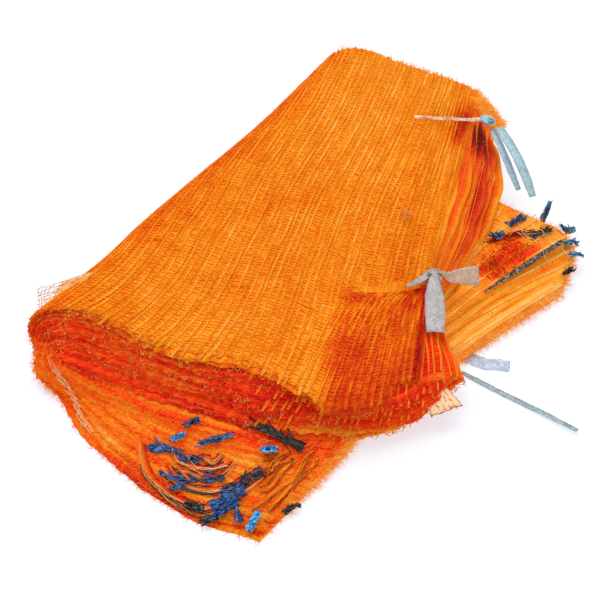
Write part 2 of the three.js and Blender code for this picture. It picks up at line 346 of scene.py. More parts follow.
    def flap(self, across: Array, along: Array, depth: float, terrace: float, dented: bool = True) -> Array:
        """Places on the upper half.

        Args:
            across: Shares from the free edge (0) to the fold (1).
            along: Shares from the front end (0) to the back end (1).
            depth: The leaf's depth, from the outermost (0) to the innermost (1).
            terrace: How far the leaf steps out in front of the tie.
            dented: Whether the tie pulls it in.

        Returns:
            Points in the plan.
        """
        across, along = np.broadcast_arrays(across, along)
        crease = self.crease(along, depth)
        edge = self.edge(along, depth, terrace)
        plan = edge + (crease - edge) * across[..., None]
        ahead = np.maximum(1 - along, 0) ** self.front_ease
        plan[..., 1] -= self.flap_bow * hump(np.clip(1 - across, 0, 1) ** self.flap_bow_skew) * ahead
        near = lerp(*self.top_at_edge, along)
        far = lerp(*self.top_at_fold, along)
        top = lerp(near, far, np.maximum(across, 0) ** self.top_ease)
        if dented:
            top = top - self.dent(plan, across, along)
        meet = self.meeting_height(plan)
        round_share = self.rounded((1 - across) * np.linalg.norm(edge - crease, axis=-1))
        lift = (1 - depth) * (top + self.lumps(plan) - meet) * round_share
        ahead = np.clip((self.hang_from - along) / self.hang_long, 0, self.hang_most) ** self.hang_ease
        hang = self.hang * ahead * (1 - self.hang_inner * depth)
        hang = hang * smooth_step(1 - across, *self.hang_across)
        return np.concatenate([plan, (meet + lift - hang)[..., None]], axis=-1)

    def lower(self, across: Array, along: Array, depth: float) -> Array:
        """Places on the lower half.

        Args:
            across: Shares from the fold (0) to the mouths (1).
            along: Shares from the front end (0) to the back end (1).
            depth: The leaf's depth, from the outermost (0) to the innermost (1).

        Returns:
            Points in the plan.
        """
        across, along = np.broadcast_arrays(across, along)
        crease = self.crease(along, depth)
        mouth = self.mouth(along)
        plan = crease + (mouth - crease) * across[..., None]
        back = self.lower_back_bow * hump(across**self.lower_back_skew)
        back = back * np.maximum(along, 0) ** self.back_ease
        bow = self.lower_front_bow * hump(np.maximum(across, 0) ** self.lower_front_skew)
        profile = 1 + swells(across, self.outer_swells)
        outer = self.outer_reach * (1 - depth) ** self.outer_ease * smooth_step(across, 0, self.outer_from)
        front = (bow + outer * profile) * np.maximum(1 - along, 0) ** self.front_ease
        plan = plan + self.axis * (back - front)[..., None]
        meet = self.meeting_height(plan)
        drop = (1 - depth) * meet * self.rounded(across * np.linalg.norm(crease - mouth, axis=-1))
        drop = drop - self.bundles(plan, along) * smooth_step(np.array(depth), *self.bundle_depths)
        return np.concatenate([plan, (meet - drop)[..., None]], axis=-1)


@dataclass
class Leaf:
    """One leaf of the stack: a net sheet from the flap's free edge round the fold to the mouth.

    A place on it is given by share, from the free edge (0) to the mouth (1) along the cloth, and by row,
    from the front end (0) to the back end (1).
    """

    plan: StackPlan
    depth: float
    terrace: float
    front: float = 0.0
    back: float = 1.0
    edge_out: float = 0.0
    mouth_out: float = 0.0
    phase: float = 0.0
    end_wave: float = 0.006
    corner: float = 0.027
    corner_from: float = 0.87
    back_corner: float = 0.042
    back_corner_from: float = 0.85
    front_hollow: float = 0.0
    hollow_from: float = 0.13
    hollow_wide: float = 0.18
    front_jog: float = 0.0
    jog_at: Pair = (0.036, 0.043)
    jog_to: Pair = (0.11, 0.14)
    edge_corner: float = 0.0
    edge_corner_wide: float = 0.07
    right_end: Pair = (0.16, 0.3)
    drawn_back: float = 0.0
    end_tone: float = 0.0
    rows: int = 80
    columns: int = 420
    samples: int = 90
    margin: float = 0.1
    crowding: float = 1.8
    half_wide: float = 260.0

    def __post_init__(self) -> None:
        """Lay out the table of places, evenly spaced along the cloth."""
        row = np.linspace(-self.margin, 1 + self.margin, self.rows)[:, None]
        steps = np.linspace(0, 1, self.samples)
        flap_across = lerp(-self.edge_out / self.half_wide, 1, 1 - (1 - steps) ** self.crowding)
        lower_across = steps[1:] ** self.crowding * (1 + self.mouth_out / self.half_wide)
        first = self.plan.fan * self.depth * lower_across
        lower = self.plan.lower(lower_across[None, :], first + (1 - first) * row, self.depth)
        flap = self.plan.flap(flap_across[None, :], row, self.depth, self.terrace)
        even_flap = self.plan.flap(flap_across[None, :], row, self.depth, self.terrace, dented=False)
        places = np.concatenate([flap, lower], axis=1)
        lengths = np.linalg.norm(np.diff(np.concatenate([even_flap, lower], axis=1), axis=1), axis=-1)
        run = np.concatenate([np.zeros((self.rows, 1)), np.cumsum(lengths, axis=1)], axis=1)
        self.fold_shares = run[:, self.samples - 1] / run[:, -1]
        even = np.linspace(0, 1, self.columns)
        self.places = np.empty((self.rows, self.columns, 3))
        for r in range(self.rows):
            for k in range(3):
                self.places[r, :, k] = np.interp(even, run[r] / run[r, -1], places[r, :, k])
        self.places = to_frame(self.places)
        along_rows, along_columns = np.gradient(self.places, axis=(0, 1))
        self.row_ways = unit(along_rows)
        self.column_ways = unit(along_columns)
        self.outs = unit(np.cross(along_rows, along_columns))

    def fold_share(self, row: Array) -> Array:
        """Share at which the leaf turns round the fold."""
        return np.interp(row, np.linspace(-self.margin, 1 + self.margin, self.rows), self.fold_shares)

    def wave(self, share: Array) -> Array:
        """Unevenness of the cut ends."""
        broad = np.sin(2 * np.pi * (2 * share + self.phase))
        return self.end_wave * (broad + 0.6 * np.sin(2 * np.pi * (5.3 * share + 3 * self.phase)))

    def first_row(self, share: Array) -> Array:
        """Row of the front end, whose corner at the mouth is rounded.

        Args:
            share: Shares from the free edge to the mouth.

        Returns:
            Rows.
        """
        corner = self.corner * smooth_step(share, self.corner_from, 1) ** 2
        corner = corner + self.edge_corner * (1 - smooth_step(share, 0, self.edge_corner_wide))
        hollow = self.front_hollow * hump((share - self.hollow_from) / self.hollow_wide)
        jog = self.front_jog * (1 - 2 * smooth_step(share, *self.jog_at))
        jog = jog * (1 - smooth_step(share, *self.jog_to))
        drawn = self.drawn_back * self.at_right(share)
        return self.front + self.wave(share) + corner + hollow + jog + drawn

    def at_right(self, share: Array) -> Array:
        """Share of being on the part of the flap near its free edge."""
        return 1 - smooth_step(share, *self.right_end)

    def last_row(self, share: Array) -> Array:
        """Row of the back end, whose corner at the mouth is rounded."""
        corner = self.back_corner * smooth_step(share, self.back_corner_from, 1) ** 2
        return self.back - self.wave(share + 0.4) - corner

    def sample(self, table: Array, share: Array, row: Array) -> Array:
        """Values of one of the leaf's tables.

        Args:
            table: Places, directions or normals.
            share: Shares from the free edge to the mouth.
            row: Rows from the front end to the back end.

        Returns:
            One vector for each share and row.
        """
        share, row = np.broadcast_arrays(share, row)
        way = np.clip((row + self.margin) / (1 + 2 * self.margin), 0, 1)
        return bilinear(table, way * (self.rows - 1), np.clip(share, 0, 1) * (self.columns - 1))

    def at(self, share: Array, row: Array, lift: Array | float = 0.0) -> Array:
        """Places on the leaf, or lifted off it along its outward side, but not under the floor."""
        lift = np.broadcast_to(lift, np.broadcast_shapes(np.shape(share), np.shape(row)))
        places = self.sample(self.places, share, row) + self.sample(self.outs, share, row) * lift[..., None]
        places[..., 2] = np.maximum(places[..., 2], FLOOR_GAP)
        return places


class Shade(Enum):
    """Linear colours of the plastics, each as base and dark tone; the dark tone is partly painted shade in
    crinkles.
    """

    BRIGHT = ((0.030, 0.26, 0.66), (0.004, 0.040, 0.16))
    ROYAL = ((0.010, 0.062, 0.21), (0.001, 0.008, 0.032))
    NAVY = ((0.006, 0.032, 0.12), (0.001, 0.004, 0.014))
    TEAL = ((0.025, 0.13, 0.23), (0.003, 0.016, 0.035))
    BLACK = ((0.009, 0.011, 0.011), (0.002, 0.003, 0.003))
    SLATE = ((0.050, 0.048, 0.038), (0.004, 0.005, 0.004))
    CREAM = ((0.80, 0.58, 0.42), (0.55, 0.28, 0.14))
    ICE = ((0.36, 0.51, 0.57), (0.25, 0.39, 0.45))
    PEARL = ((0.43, 0.39, 0.39), (0.33, 0.30, 0.30))
    TAUPE = ((0.54, 0.36, 0.26), (0.44, 0.29, 0.21))
    FROST = ((0.50, 0.60, 0.74), (0.32, 0.42, 0.54))
    MIST = ((0.32, 0.43, 0.46), (0.18, 0.27, 0.30))
    PLUM = ((0.045, 0.020, 0.032), (0.010, 0.005, 0.009))


class Nodes:
    """A material's node tree, with short calls to add and join nodes."""

    def __init__(self, name: str) -> None:
        """Start from a material with one principled shader."""
        self.material = bpy.data.materials.new(name)
        self.material.use_nodes = True
        self.tree = self.material.node_tree
        self.shader = self.tree.nodes["Principled BSDF"]

    def add(self, kind: str, **settings: object) -> bpy.types.Node:
        """Add a node and set its properties."""
        node = self.tree.nodes.new(kind)
        for key, value in settings.items():
            setattr(node, key, value)
        return node

    def join(self, source: bpy.types.NodeSocket, target: bpy.types.NodeSocket) -> None:
        """Link two sockets."""
        self.tree.links.new(source, target)

    def math(self, operation: str, first: object, second: object = 0.0, clamp: bool = False) -> object:
        """Add a Math node.

        Args:
            operation: The node's operation.
            first: A socket or a number.
            second: A socket or a number.
            clamp: Whether the result stays from 0 to 1.

        Returns:
            The node's output socket.
        """
        node = self.add("ShaderNodeMath", operation=operation, use_clamp=clamp)
        for socket, value in zip(node.inputs, (first, second)):
            if isinstance(value, bpy.types.NodeSocket):
                self.join(value, socket)
            else:
                socket.default_value = value
        return node.outputs[0]

    def noise(self, coordinates: object, scale: float, detail: float = 2.0) -> object:
        """Add a noise texture and return its value."""
        node = self.add("ShaderNodeTexNoise")
        node.inputs["Scale"].default_value = scale
        node.inputs["Detail"].default_value = detail
        self.join(coordinates, node.inputs["Vector"])
        return node.outputs["Fac"]

    def vary(self, value: object, pattern: object, amount: float) -> object:
        """Add an amount of a pattern, taken from its middle, to a value."""
        return self.math("ADD", value, self.math("MULTIPLY", self.math("SUBTRACT", pattern, 0.5), amount))

    def ramp(self, value: object, stops: Stops) -> object:
        """Add a colour ramp.

        Args:
            value: The socket that drives it.
            stops: Positions and linear colours.

        Returns:
            The colour socket.
        """
        node = self.add("ShaderNodeValToRGB")
        elements = node.color_ramp.elements
        while len(elements) < len(stops):
            elements.new(1.0)
        for element, (position, colour) in zip(elements, stops):
            element.position = position
            element.color = (*colour, 1.0)
        self.join(value, node.inputs["Fac"])
        return node.outputs["Color"]

    def bump(self, height: object, distance: float, strength: float) -> None:
        """Add a bump from a height socket."""
        node = self.add("ShaderNodeBump")
        node.inputs["Distance"].default_value = distance
        node.inputs["Strength"].default_value = strength
        self.join(height, node.inputs["Height"])
        self.join(node.outputs["Normal"], self.shader.inputs["Normal"])


# Linear colours from the shaded depth to the brightest strands, where tones below 0 are painted shade for
# creases and gaps: of the outer net, of the nets in the stack, whose brighter deep reds are painted light
# that lifts their shaded cut ends, and of pale loose threads.
LIGHT_STOPS: Stops = (
    (0.5, (0.83, 0.245, 0.004)),
    (0.75, (0.90, 0.38, 0.032)),
    (1.0, (0.96, 0.56, 0.16)),
)
NET_STOPS: Stops = (
    (-0.3, (0.12, 0.005, 0.002)),
    (0.0, (0.48, 0.012, 0.003)),
    (0.25, (0.72, 0.064, 0.004)),
    *LIGHT_STOPS,
)
DEEP_STOPS: Stops = (
    (-0.3, (0.13, 0.005, 0.004)),
    (0.0, (0.69, 0.011, 0.006)),
    (0.25, (0.96, 0.057, 0.008)),
    (0.5, (0.84, 0.25, 0.011)),
    *LIGHT_STOPS[1:],
)
PALE_STOPS: Stops = (
    (-0.3, (0.20, 0.03, 0.008)),
    (0.0, (0.55, 0.10, 0.015)),
    (0.5, (0.88, 0.42, 0.10)),
    (1.0, (0.95, 0.78, 0.55)),
)


@dataclass(frozen=True)
class NetFinish:
    """Knitted orange plastic: each vertex has a tone, and fine noise breaks it up. It also glows faintly in
    its own colour, which is painted light for light shining through the thin plastic.
    """

    name: str
    ribbed: bool = False
    roughness: float = 0.55
    gloss: float = 0.06
    patches: float = 0.24
    mottle: float = 0.22
    grain: float = 0.2
    glow: float = 0.1
    stitch: float = 0.15
    stops: Stops = NET_STOPS
    darkest: float = 0.3

    def material(self) -> Material:
        """Make the material."""
        nodes = Nodes(self.name)
        here = nodes.add("ShaderNodeTexCoord").outputs["Object"]
        tone = nodes.add("ShaderNodeAttribute", attribute_name="tone").outputs["Fac"]
        for scale, amount in ((17, self.patches), (70, self.mottle), (1400, self.grain)):
            tone = nodes.vary(tone, nodes.noise(here, scale, 2), amount)
        height = nodes.noise(here, 2200, 1)
        if self.ribbed:
            stitch = self.stitches(nodes, nodes.noise(here, 90, 2))
            tone = nodes.vary(tone, stitch, self.stitch)
            height = nodes.math("ADD", height, stitch)
        span = 1 + self.darkest
        stops = tuple(((place + self.darkest) / span, colour) for place, colour in self.stops)
        colour = nodes.ramp(nodes.math("DIVIDE", nodes.math("ADD", tone, self.darkest), span), stops)
        nodes.join(colour, nodes.shader.inputs["Base Color"])
        # The ramp's colour is also emitted: painted light for light shining through the net.
        nodes.join(colour, nodes.shader.inputs["Emission Color"])
        nodes.shader.inputs["Roughness"].default_value = self.roughness
        nodes.shader.inputs["Specular IOR Level"].default_value = self.gloss
        nodes.shader.inputs["Emission Strength"].default_value = self.glow
        nodes.bump(height, 0.0004, 0.5)
        return nodes.material

    def stitches(self, nodes: Nodes, wander: object) -> object:
        """Pattern of ribs and wefts from the leaf's own map: rib number and weft number.

        Args:
            nodes: The material's nodes.
            wander: Noise by which the wefts wander.

        Returns:
            The pattern's socket.
        """
        split = nodes.add("ShaderNodeSeparateXYZ")
        nodes.join(nodes.add("ShaderNodeUVMap", uv_map="net").outputs["UV"], split.inputs["Vector"])
        rib = nodes.math("ABSOLUTE", nodes.math("SUBTRACT", nodes.math("FRACT", split.outputs["X"]), 0.5))
        row = nodes.math("ADD", split.outputs["Y"], nodes.math("MULTIPLY", wander, 4.0))
        weft = nodes.math("ABSOLUTE", nodes.math("SUBTRACT", nodes.math("FRACT", row), 0.5))
        rib_line = nodes.math("MULTIPLY", nodes.math("SUBTRACT", rib, 0.3), 5.0, clamp=True)
        weft_line = nodes.math("MULTIPLY", nodes.math("SUBTRACT", weft, 0.18), 4.0, clamp=True)
        return nodes.math("MAXIMUM", rib_line, nodes.math("MULTIPLY", weft_line, 0.75))


@dataclass(frozen=True)
class TapeFinish:
    """Thin plastic or non-woven tape: a base and a dark tone with fine speckles and crinkles. The noise
    moves the colour between the dark tone and a lighter one: partly the tape's own speckled colour, partly
    painted shade and painted highlights on its crinkles.
    """

    name: str
    shade: Shade
    roughness: float = 0.42
    speckle: float = 600.0
    crinkle: float = 180.0
    light: float = 1.2
    bump: float = 0.5

    def material(self) -> Material:
        """Make the material."""
        nodes = Nodes(self.name)
        here = nodes.add("ShaderNodeTexCoord").outputs["Object"]
        base, dark = self.shade.value
        speckle = nodes.noise(here, self.speckle, 2)
        crinkle = nodes.noise(here, self.crinkle, 3)
        mixed = nodes.math("ADD", nodes.math("MULTIPLY", speckle, 0.6), nodes.math("MULTIPLY", crinkle, 0.4))
        # The lighter tone is partly a painted highlight on the crinkles.
        light = tuple(min(1.0, c * self.light) for c in base)
        colour = nodes.ramp(mixed, ((0.40, dark), (0.51, base), (0.64, light)))
        nodes.join(colour, nodes.shader.inputs["Base Color"])
        rough = nodes.math("ADD", nodes.math("MULTIPLY", speckle, 0.3), self.roughness - 0.15)
        nodes.join(rough, nodes.shader.inputs["Roughness"])
        nodes.bump(nodes.math("ADD", crinkle, nodes.math("MULTIPLY", speckle, 0.4)), 0.0005, self.bump)
        return nodes.material


def show(mesh: bpy.types.Mesh, name: str, material: Material) -> Piece:
    """Make a piece from a mesh and let it ride with the pack.

    Args:
        mesh: The piece's mesh, in place.
        name: The piece's name.
        material: Its material.

    Returns:
        The new object.
    """
    piece = bpy.data.objects.new(name, mesh)
    mesh.name = name
    mesh.materials.append(material)
    mesh.polygons.foreach_set("use_smooth", np.ones(len(mesh.polygons), bool))
    bpy.context.scene.collection.objects.link(piece)
    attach(piece, BODY)
    LOG.info("%s: %d faces", name, len(mesh.polygons))
    return piece


def set_tone(mesh: bpy.types.Mesh, tones: Array) -> None:
    """Give each vertex its tone."""
    data = mesh.attributes.new("tone", "FLOAT", "POINT").data
    data.foreach_set("value", tones.astype(np.float32).ravel())


def grid_points(bm: bmesh.types.BMesh, places: Array) -> None:
    """Add a grid of faces to a mesh, with its points in given places.

    Args:
        bm: The mesh that grows.
        places: Places as rows by columns by 3, whose outward side has rows to the back and columns on.
    """
    rows, columns = places.shape[:2]
    made = bmesh.ops.create_grid(bm, x_segments=columns - 1, y_segments=rows - 1, size=1.0)["verts"]
    for vert in made:
        c = round((vert.co.x + 1) / 2 * (columns - 1))
        r = round((vert.co.y + 1) / 2 * (rows - 1))
        vert.co = places[r, c]


@dataclass(frozen=True)
class ClothGrid:
    """Rows by columns of places on a cloth, with their tones and their rib and weft numbers."""

    places: Array
    tones: Array
    net_map: Array


def cloth_piece(
    grids: list[ClothGrid], name: str, material: Material, thick: float, offset: float = -1.0
) -> Piece:
    """Make one piece of thin cloths.

    Args:
        grids: The cloths.
        name: The piece's name.
        material: Its material.
        thick: The cloth's thickness.
        offset: Where the places lie in the thickness, from -1 on the outer face to 1 on the inner one.

    Returns:
        The new object.
    """
    bm = bmesh.new()
    for grid in grids:
        grid_points(bm, grid.places)
    bmesh.ops.reverse_faces(bm, faces=bm.faces[:])
    mesh = bpy.data.meshes.new(name)
    bm.to_mesh(mesh)
    bm.free()
    set_tone(mesh, np.concatenate([grid.tones.ravel() for grid in grids]))
    corners = np.empty(len(mesh.loops), np.int32)
    mesh.loops.foreach_get("vertex_index", corners)
    net_map = np.concatenate([grid.net_map.reshape(-1, 2) for grid in grids])
    mesh.uv_layers.new(name="net").data.foreach_set("uv", net_map[corners].ravel())
    piece = show(mesh, name, material)
    wall = piece.modifiers.new("cloth", "SOLIDIFY")
    wall.thickness = thick
    wall.offset = offset
    return piece


class Strands:
    """Many thin strands that become one joined mesh."""

    def __init__(self, sides: int = 3) -> None:
        """Start with none."""
        self.sides = sides
        self.points: list[Array] = []
        self.faces: list[Array] = []
        self.tones: list[Array] = []
        self.total = 0

    def add(self, paths: Array, radius: Array | float, tone: Array | float) -> None:
        """Add strands of equally many points.

        Args:
            paths: Points as strands by points by 3.
            radius: Radius of each strand and point, in metres.
            tone: Tone of each strand and point.
        """
        count, steps = paths.shape[:2]
        if not count:
            return
        ahead = unit(np.gradient(paths, axis=1))
        up = np.where(np.abs(ahead[..., 2:3]) < 0.9, np.array([0.0, 0, 1]), np.array([1.0, 0, 0]))
        side = unit(np.cross(ahead, up))
        over = np.cross(side, ahead)
        angle = 2 * np.pi * np.arange(self.sides) / self.sides
        radius = np.broadcast_to(radius, (count, steps))[..., None, None]
        ring = over[:, :, None, :] * np.cos(angle)[:, None] + side[:, :, None, :] * np.sin(angle)[:, None]
        points = paths[:, :, None, :] + ring * radius
        index = self.total + np.arange(count * steps * self.sides).reshape(count, steps, self.sides)
        onward = np.roll(index, -1, axis=2)
        a, b, c, d = index[:, :-1], onward[:, :-1], onward[:, 1:], index[:, 1:]
        walls = [np.stack(corners, -1).reshape(-1, 3) for corners in ((a, b, c), (a, c, d))]
        caps = [index[:, 0][:, [0, k + 1, k]] for k in range(1, self.sides - 1)]
        caps += [index[:, -1][:, [0, k, k + 1]] for k in range(1, self.sides - 1)]
        self.points.append(points.reshape(-1, 3))
        self.faces += [*walls, *caps]
        tones = np.broadcast_to(tone, (count, steps))[..., None]
        self.tones.append(np.broadcast_to(tones, (count, steps, self.sides)).reshape(-1))
        self.total += count * steps * self.sides

    def piece(self, name: str, material: Material, slot: str = NET_SLOT) -> Piece:
        """Make the joined piece."""
        mesh = bpy.data.meshes.new(name)
        mesh.from_pydata(np.concatenate(self.points).tolist(), [], np.concatenate(self.faces).tolist())
        mesh.update()
        set_tone(mesh, np.concatenate(self.tones))
        return show(mesh, name, material)


@dataclass(frozen=True)
class Knit:
    """How a bag is knitted: ribs run from its front end to its back end, wefts zigzag between them."""

    ribs: int = 100
    wefts: int = 122
    rib_thick: float = 0.55 * MM
    weft_thick: float = 0.36 * MM
    narrow: float = 0.09
    flare: float = 0.1
    flare_long: float = 0.12
    lean: float = 0.03
    back_fan: float = 0.34
    gather: float = 0.042
    gather_wide: float = 0.17
    gather_long: float = 0.11
    crease_from: float = 0.352
    crease_slope: float = 0.86
    dip_long: float = 0.006
    dip_deep: float = 1.5 * MM
    sway: float = 0.0012
    uneven: float = 0.0012

    def crease_row(self, share: Array) -> Array:
        """Row of the crease that the middle tie pulls in."""
        return np.clip(self.crease_from - self.crease_slope * share, 0.05, 0.5)

    def gathered(self, share: Array) -> Array:
        """Shares of ribs where they come out of the crease, drawn to the tie."""
        return share - self.gather * hump(share / self.gather_wide)

    def rib_share(self, rib: Array, row: Array, phase: float = 0.0) -> Array:
        """Share of a rib at a row: ribs flare to the front, and the lower half's fan out to the back.

        Args:
            rib: Rib numbers.
            row: Rows from front to back.
            phase: Shift of the ribs' sway.

        Returns:
            Shares from the free edge to the mouth.
        """
        share = rib / self.ribs
        on_flap = 1 - smooth_step(share, 0.5, 1)
        closer = self.narrow * row + self.flare * (1 - np.exp(-np.maximum(row, -0.05) / self.flare_long))
        share = share * (1 - closer * on_flap)
        share = share - self.lean * smooth_step(row, 0.45, 1.05) * smooth_step(share, 0, 0.1) * on_flap
        fan = smooth_step(share, 0.4, 0.75) * (1 - smooth_step(share, 0.84, 0.96))
        share = share - self.back_fan * np.maximum(row - 0.62, 0) * fan
        slow = np.sin(2 * np.pi * (1.6 * row + 0.173 * rib + phase))
        quick = np.sin(2 * np.pi * (5.3 * row + 0.61 * rib + 2.3 * phase))
        sway = self.sway * (slow + 0.5 * quick) + self.uneven * np.sin(2.4 * rib + 7 * phase)
        return share + sway * hump(share) ** 0.2

    def front_share(self, rib: Array, row: Array, phase: float = 0.0) -> Array:
        """Share of a rib at a row in front of the crease."""
        share = self.rib_share(rib, row, phase)
        drawn = self.gathered(share)
        return lerp(share, drawn, np.exp(-np.maximum(self.crease_row(drawn) - row, 0) / self.gather_long))


@dataclass(frozen=True)
class StackSizes:
    """How the leaves are spread over the stack's depth, and how unevenly they are cut."""

    layers: int = 6
    leaves_each: int = 8
    innermost: float = 0.97
    front_step: float = 0.004
    front_first: float = 0.014
    end_step: float = 0.008
    mouth_step: float = 4.0
    mouth_back: float = 1.5
    back_end: float = 1.006
    edge_step: float = 2.2
    terraces: Floats = (0, 0.5, 0.9, 1.0, 0.8, 0.45)
    terrace_slope: float = 0.1
    edge_corners: Floats = (0, 0.02, 0.04, 0.05, 0.065, 0.05)
    drawn_back: Floats = (0, 0.014, 0.03, 0.03, 0.016, 0.02)
    end_tones: Floats = (0.08, 0.08, 0.08, 0.12, 0.2, 0.65)
    front_hollows: Floats = (0.034, 0.022, 0.008, 0, 0, 0)
    front_jogs: Floats = (0.017, 0.01, 0, 0, 0, 0)
    uneven: Pair = (0.6, 0.55)
    outer_rows: int = 240
    inner_rows: int = 80

    def make(self, plan: StackPlan, random: Random) -> list[list[Leaf]]:
        """Make the leaves of each layer.

        Args:
            plan: The stack's plan.
            random: Seeded random numbers.

        Returns:
            For each layer, its leaves from the outside in.
        """
        depths = np.linspace(0, self.innermost, self.layers * self.leaves_each)
        layers = []
        for i, layer in enumerate(np.split(depths, self.layers)):
            shift = random.uniform(-1, 1, 4)
            leaves = []
            for k, depth in enumerate(layer):
                uneven = self.uneven[0] * shift + self.uneven[1] * random.uniform(-1, 1, 4)
                terrace = self.terraces[i] + self.terrace_slope * k / self.leaves_each
                leaves.append(
                    Leaf(
                        plan,
                        float(depth),
                        terrace,
                        front=self.front_first - self.front_step * i + self.end_step * uneven[0],
                        back=self.back_end + self.end_step * uneven[1],
                        edge_out=self.edge_step * uneven[2],
                        mouth_out=self.mouth_step * uneven[3] - self.mouth_back,
                        phase=float(random.uniform()),
                        edge_corner=self.edge_corners[i],
                        drawn_back=self.drawn_back[i],
                        end_tone=self.end_tones[i],
                        front_hollow=self.front_hollows[i],
                        front_jog=self.front_jogs[i],
                        rows=self.inner_rows if depth else self.outer_rows,
                    )
                )
            layers.append(leaves)
        return layers


@dataclass
class NetTones:
    """Tones of the net at places on a leaf: deep red at the flap's cut ends and in tucks, else lighter. Much
    of the darkening is painted shade, and some lightening is painted light.

    A spot is a patch of painted shade: how much darker it is, then its middle and width along the share and
    along the row.
    """

    leaf: Leaf
    share: Array
    row: Array
    top: float = 0.51
    top_back: float = 0.1
    # Painted shade on the top: round the fold, in the hollow under the back tie, in front of the middle tie
    # with its spots, and in a column along the free edge there.
    brow_shade: float = 0.3
    rim: float = 0.1
    hollow: float = 0.6
    back_edge: float = 0.08
    lobe_shade: Pair = (0.4, 0.21)
    spots: tuple[Floats, ...] = ((0.13, 0.045, 0.035, 0.38, 0.06), (0.24, 0.02, 0.017, 0.285, 0.045))
    edge_column_shade: float = 0.5
    # Inner leaves are painted deeper red at the cut front and near the free edge, and painted shade falls on
    # them under the upper layers.
    inner: Pair = (0.40, 0.21)
    under: float = 0.36
    flap_strata: float = 0.28
    # Painted shade on the deepest leaves' front ends, where they meet the lower half.
    flap_contact_shade: float = 0.15
    flap_corner_shade: float = 0.25
    lower: Pair = (0.42, 0.58)
    # On the lower half: painted light on the bundles' crests and painted shade in their dips, painted shade
    # in the open mouth, under the flap, on the deepest leaves' front ends, between the hems and round the
    # dark strip, and painted light on the mouth ends.
    bundle: float = 0.4
    pocket: float = 0.45
    mouth_end_shade: float = 0.2
    lower_contact_shade: float = 0.25
    lower_strata: float = 0.45
    hems: float = 0.26
    strip: float = 0.5
    mouth: float = 0.22

    def __post_init__(self) -> None:
        """Find where the places are in the plan, behind the cut front and in the stack."""
        self.share, self.row = np.broadcast_arrays(self.share, self.row)
        self.plan = (self.leaf.at(self.share, self.row) - PLAN_ORIGIN)[..., :2] / MM
        self.from_end = np.maximum(self.row - self.leaf.first_row(self.share), 0)
        self.inside = min(self.leaf.depth * 8, 1.0)
        self.deep = float(smooth_step(np.array(self.leaf.depth), 0.75, 1))

    def on_top(self) -> Array:
        """Tones on the outside of the flap."""
        share, row = self.share, self.row
        # Painted shade round the fold, in front of the middle tie with darker spots, and in a column along
        # the free edge.
        brow_shade = bell(self.leaf.fold_share(row) - share, 0.035, 0.07) * np.clip(0.3 + row, 0, 1.25)
        rim = np.exp(-share / 0.012)
        lobe_shade = (1 - smooth_step(share, 0.105, 0.14)) * (1 - smooth_step(row, 0.26, 0.3))
        lobe_shade = lobe_shade * lerp(*self.lobe_shade, row / 0.26) * (1 - 0.5 * rim)
        for darker, at, wide, row_at, row_wide in self.spots:
            lobe_shade = lobe_shade + darker * bell(share, at, wide) * bell(row, row_at, row_wide)
        lobe_shade = lobe_shade + self.edge_column_shade * bell(share, 0, 0.006) * (1 - smooth_step(row, 0.305, 0.335))
        back_edge = self.back_edge * smooth_step(row, 0.92, 1) * np.exp(-share / 0.15)
        tone = self.top + self.top_back * smooth_step(row, 0.5, 1) - self.brow_shade * brow_shade - lobe_shade - back_edge
        # Painted shade in and in front of the middle tie's tuck, and below, in the hollow under the back
        # tie.
        tone = tone - self.leaf.plan.tuck(self.plan)[1] - self.rim * rim * smooth_step(row, 0.36, 0.42)
        return tone - self.hollow * np.exp(-share / 0.03) * bell(row, 0.87, 0.075)

    def on_flap(self) -> Array:
        """Tones on the flap's leaves."""
        share = self.share
        right = self.leaf.at_right(share)
        front = np.exp(-self.from_end / 0.06)
        # Painted shade under the upper layers; inner leaves are painted deeper red at the cut front and near
        # the free edge.
        under = self.under * smooth_step(share, 0, 0.025) * right * (1 - smooth_step(self.row, 0.2, 0.3))
        under = under * (1 - (0.35 + 0.25 * np.exp(-share / 0.05)) * front)
        inner = lerp(*self.inner, np.maximum(front, np.exp(-share / 0.09))) - under
        tone = lerp(self.on_top(), inner, self.inside)
        tone = tone + self.flap_strata * (self.leaf.phase - 0.5) * front * self.inside
        tip = np.maximum(np.exp(-self.from_end / 0.02), 0.8 * np.exp(-share / 0.014))
        tone = tone + self.leaf.end_tone * tip * right
        # Painted shade on the deepest leaves' front ends, where they meet the lower half.
        floor = self.flap_contact_shade * (1 - right) + self.flap_corner_shade * bell(share, 0.15, 0.05)
        return tone - floor * self.deep * front

    def on_lower(self) -> Array:
        """Tones on the lower half's leaves."""
        share, from_end, stack = self.share, self.from_end, self.leaf.plan
        # Painted light on the bundles' crests, and painted shade in their dips and in the open mouth.
        bundle = self.bundle * stack.bundles(self.plan, np.clip(self.row, 0, 1)) / stack.bundle_high
        tone = lerp(*self.lower, self.inside)
        tone = tone + (bundle - self.pocket * stack.in_pocket(self.plan)) * self.inside
        # Painted shade under the flap at the mouth ends, between the hems, round the dark strip and on the
        # deepest leaves' front ends.
        mouth_end_shade = self.mouth_end_shade * self.inside * smooth_step(share, 0.92, 0.97)
        outer = 1 - smooth_step(np.array(self.leaf.depth), 0.2, 0.5)
        hems = self.hems * smooth_step(share, 0.74, 0.82) * (1 - smooth_step(share, 0.925, 0.955)) * outer
        strip = self.strip * self.deep * bell(share, 0.905, 0.04)
        strata = self.lower_strata * (self.leaf.phase - 0.6) - self.lower_contact_shade * self.deep
        tone = tone - mouth_end_shade * np.exp(-from_end / 0.08) - (hems + strip) * np.exp(-from_end / 0.05)
        tone = tone + strata * np.exp(-from_end / 0.04)
        # The mouth ends are painted lighter against the shade they lie in.
        return tone + self.mouth * smooth_step(share, 0.94, 1) * smooth_step(self.row, 0.2, 0.4)

    def all(self) -> Array:
        """Tones of all places, most of them from 0 to 1."""
        turned = smooth_step(self.leaf.fold_share(self.row) - self.share, -0.05, 0.01)
        return lerp(self.on_lower(), self.on_flap(), turned)


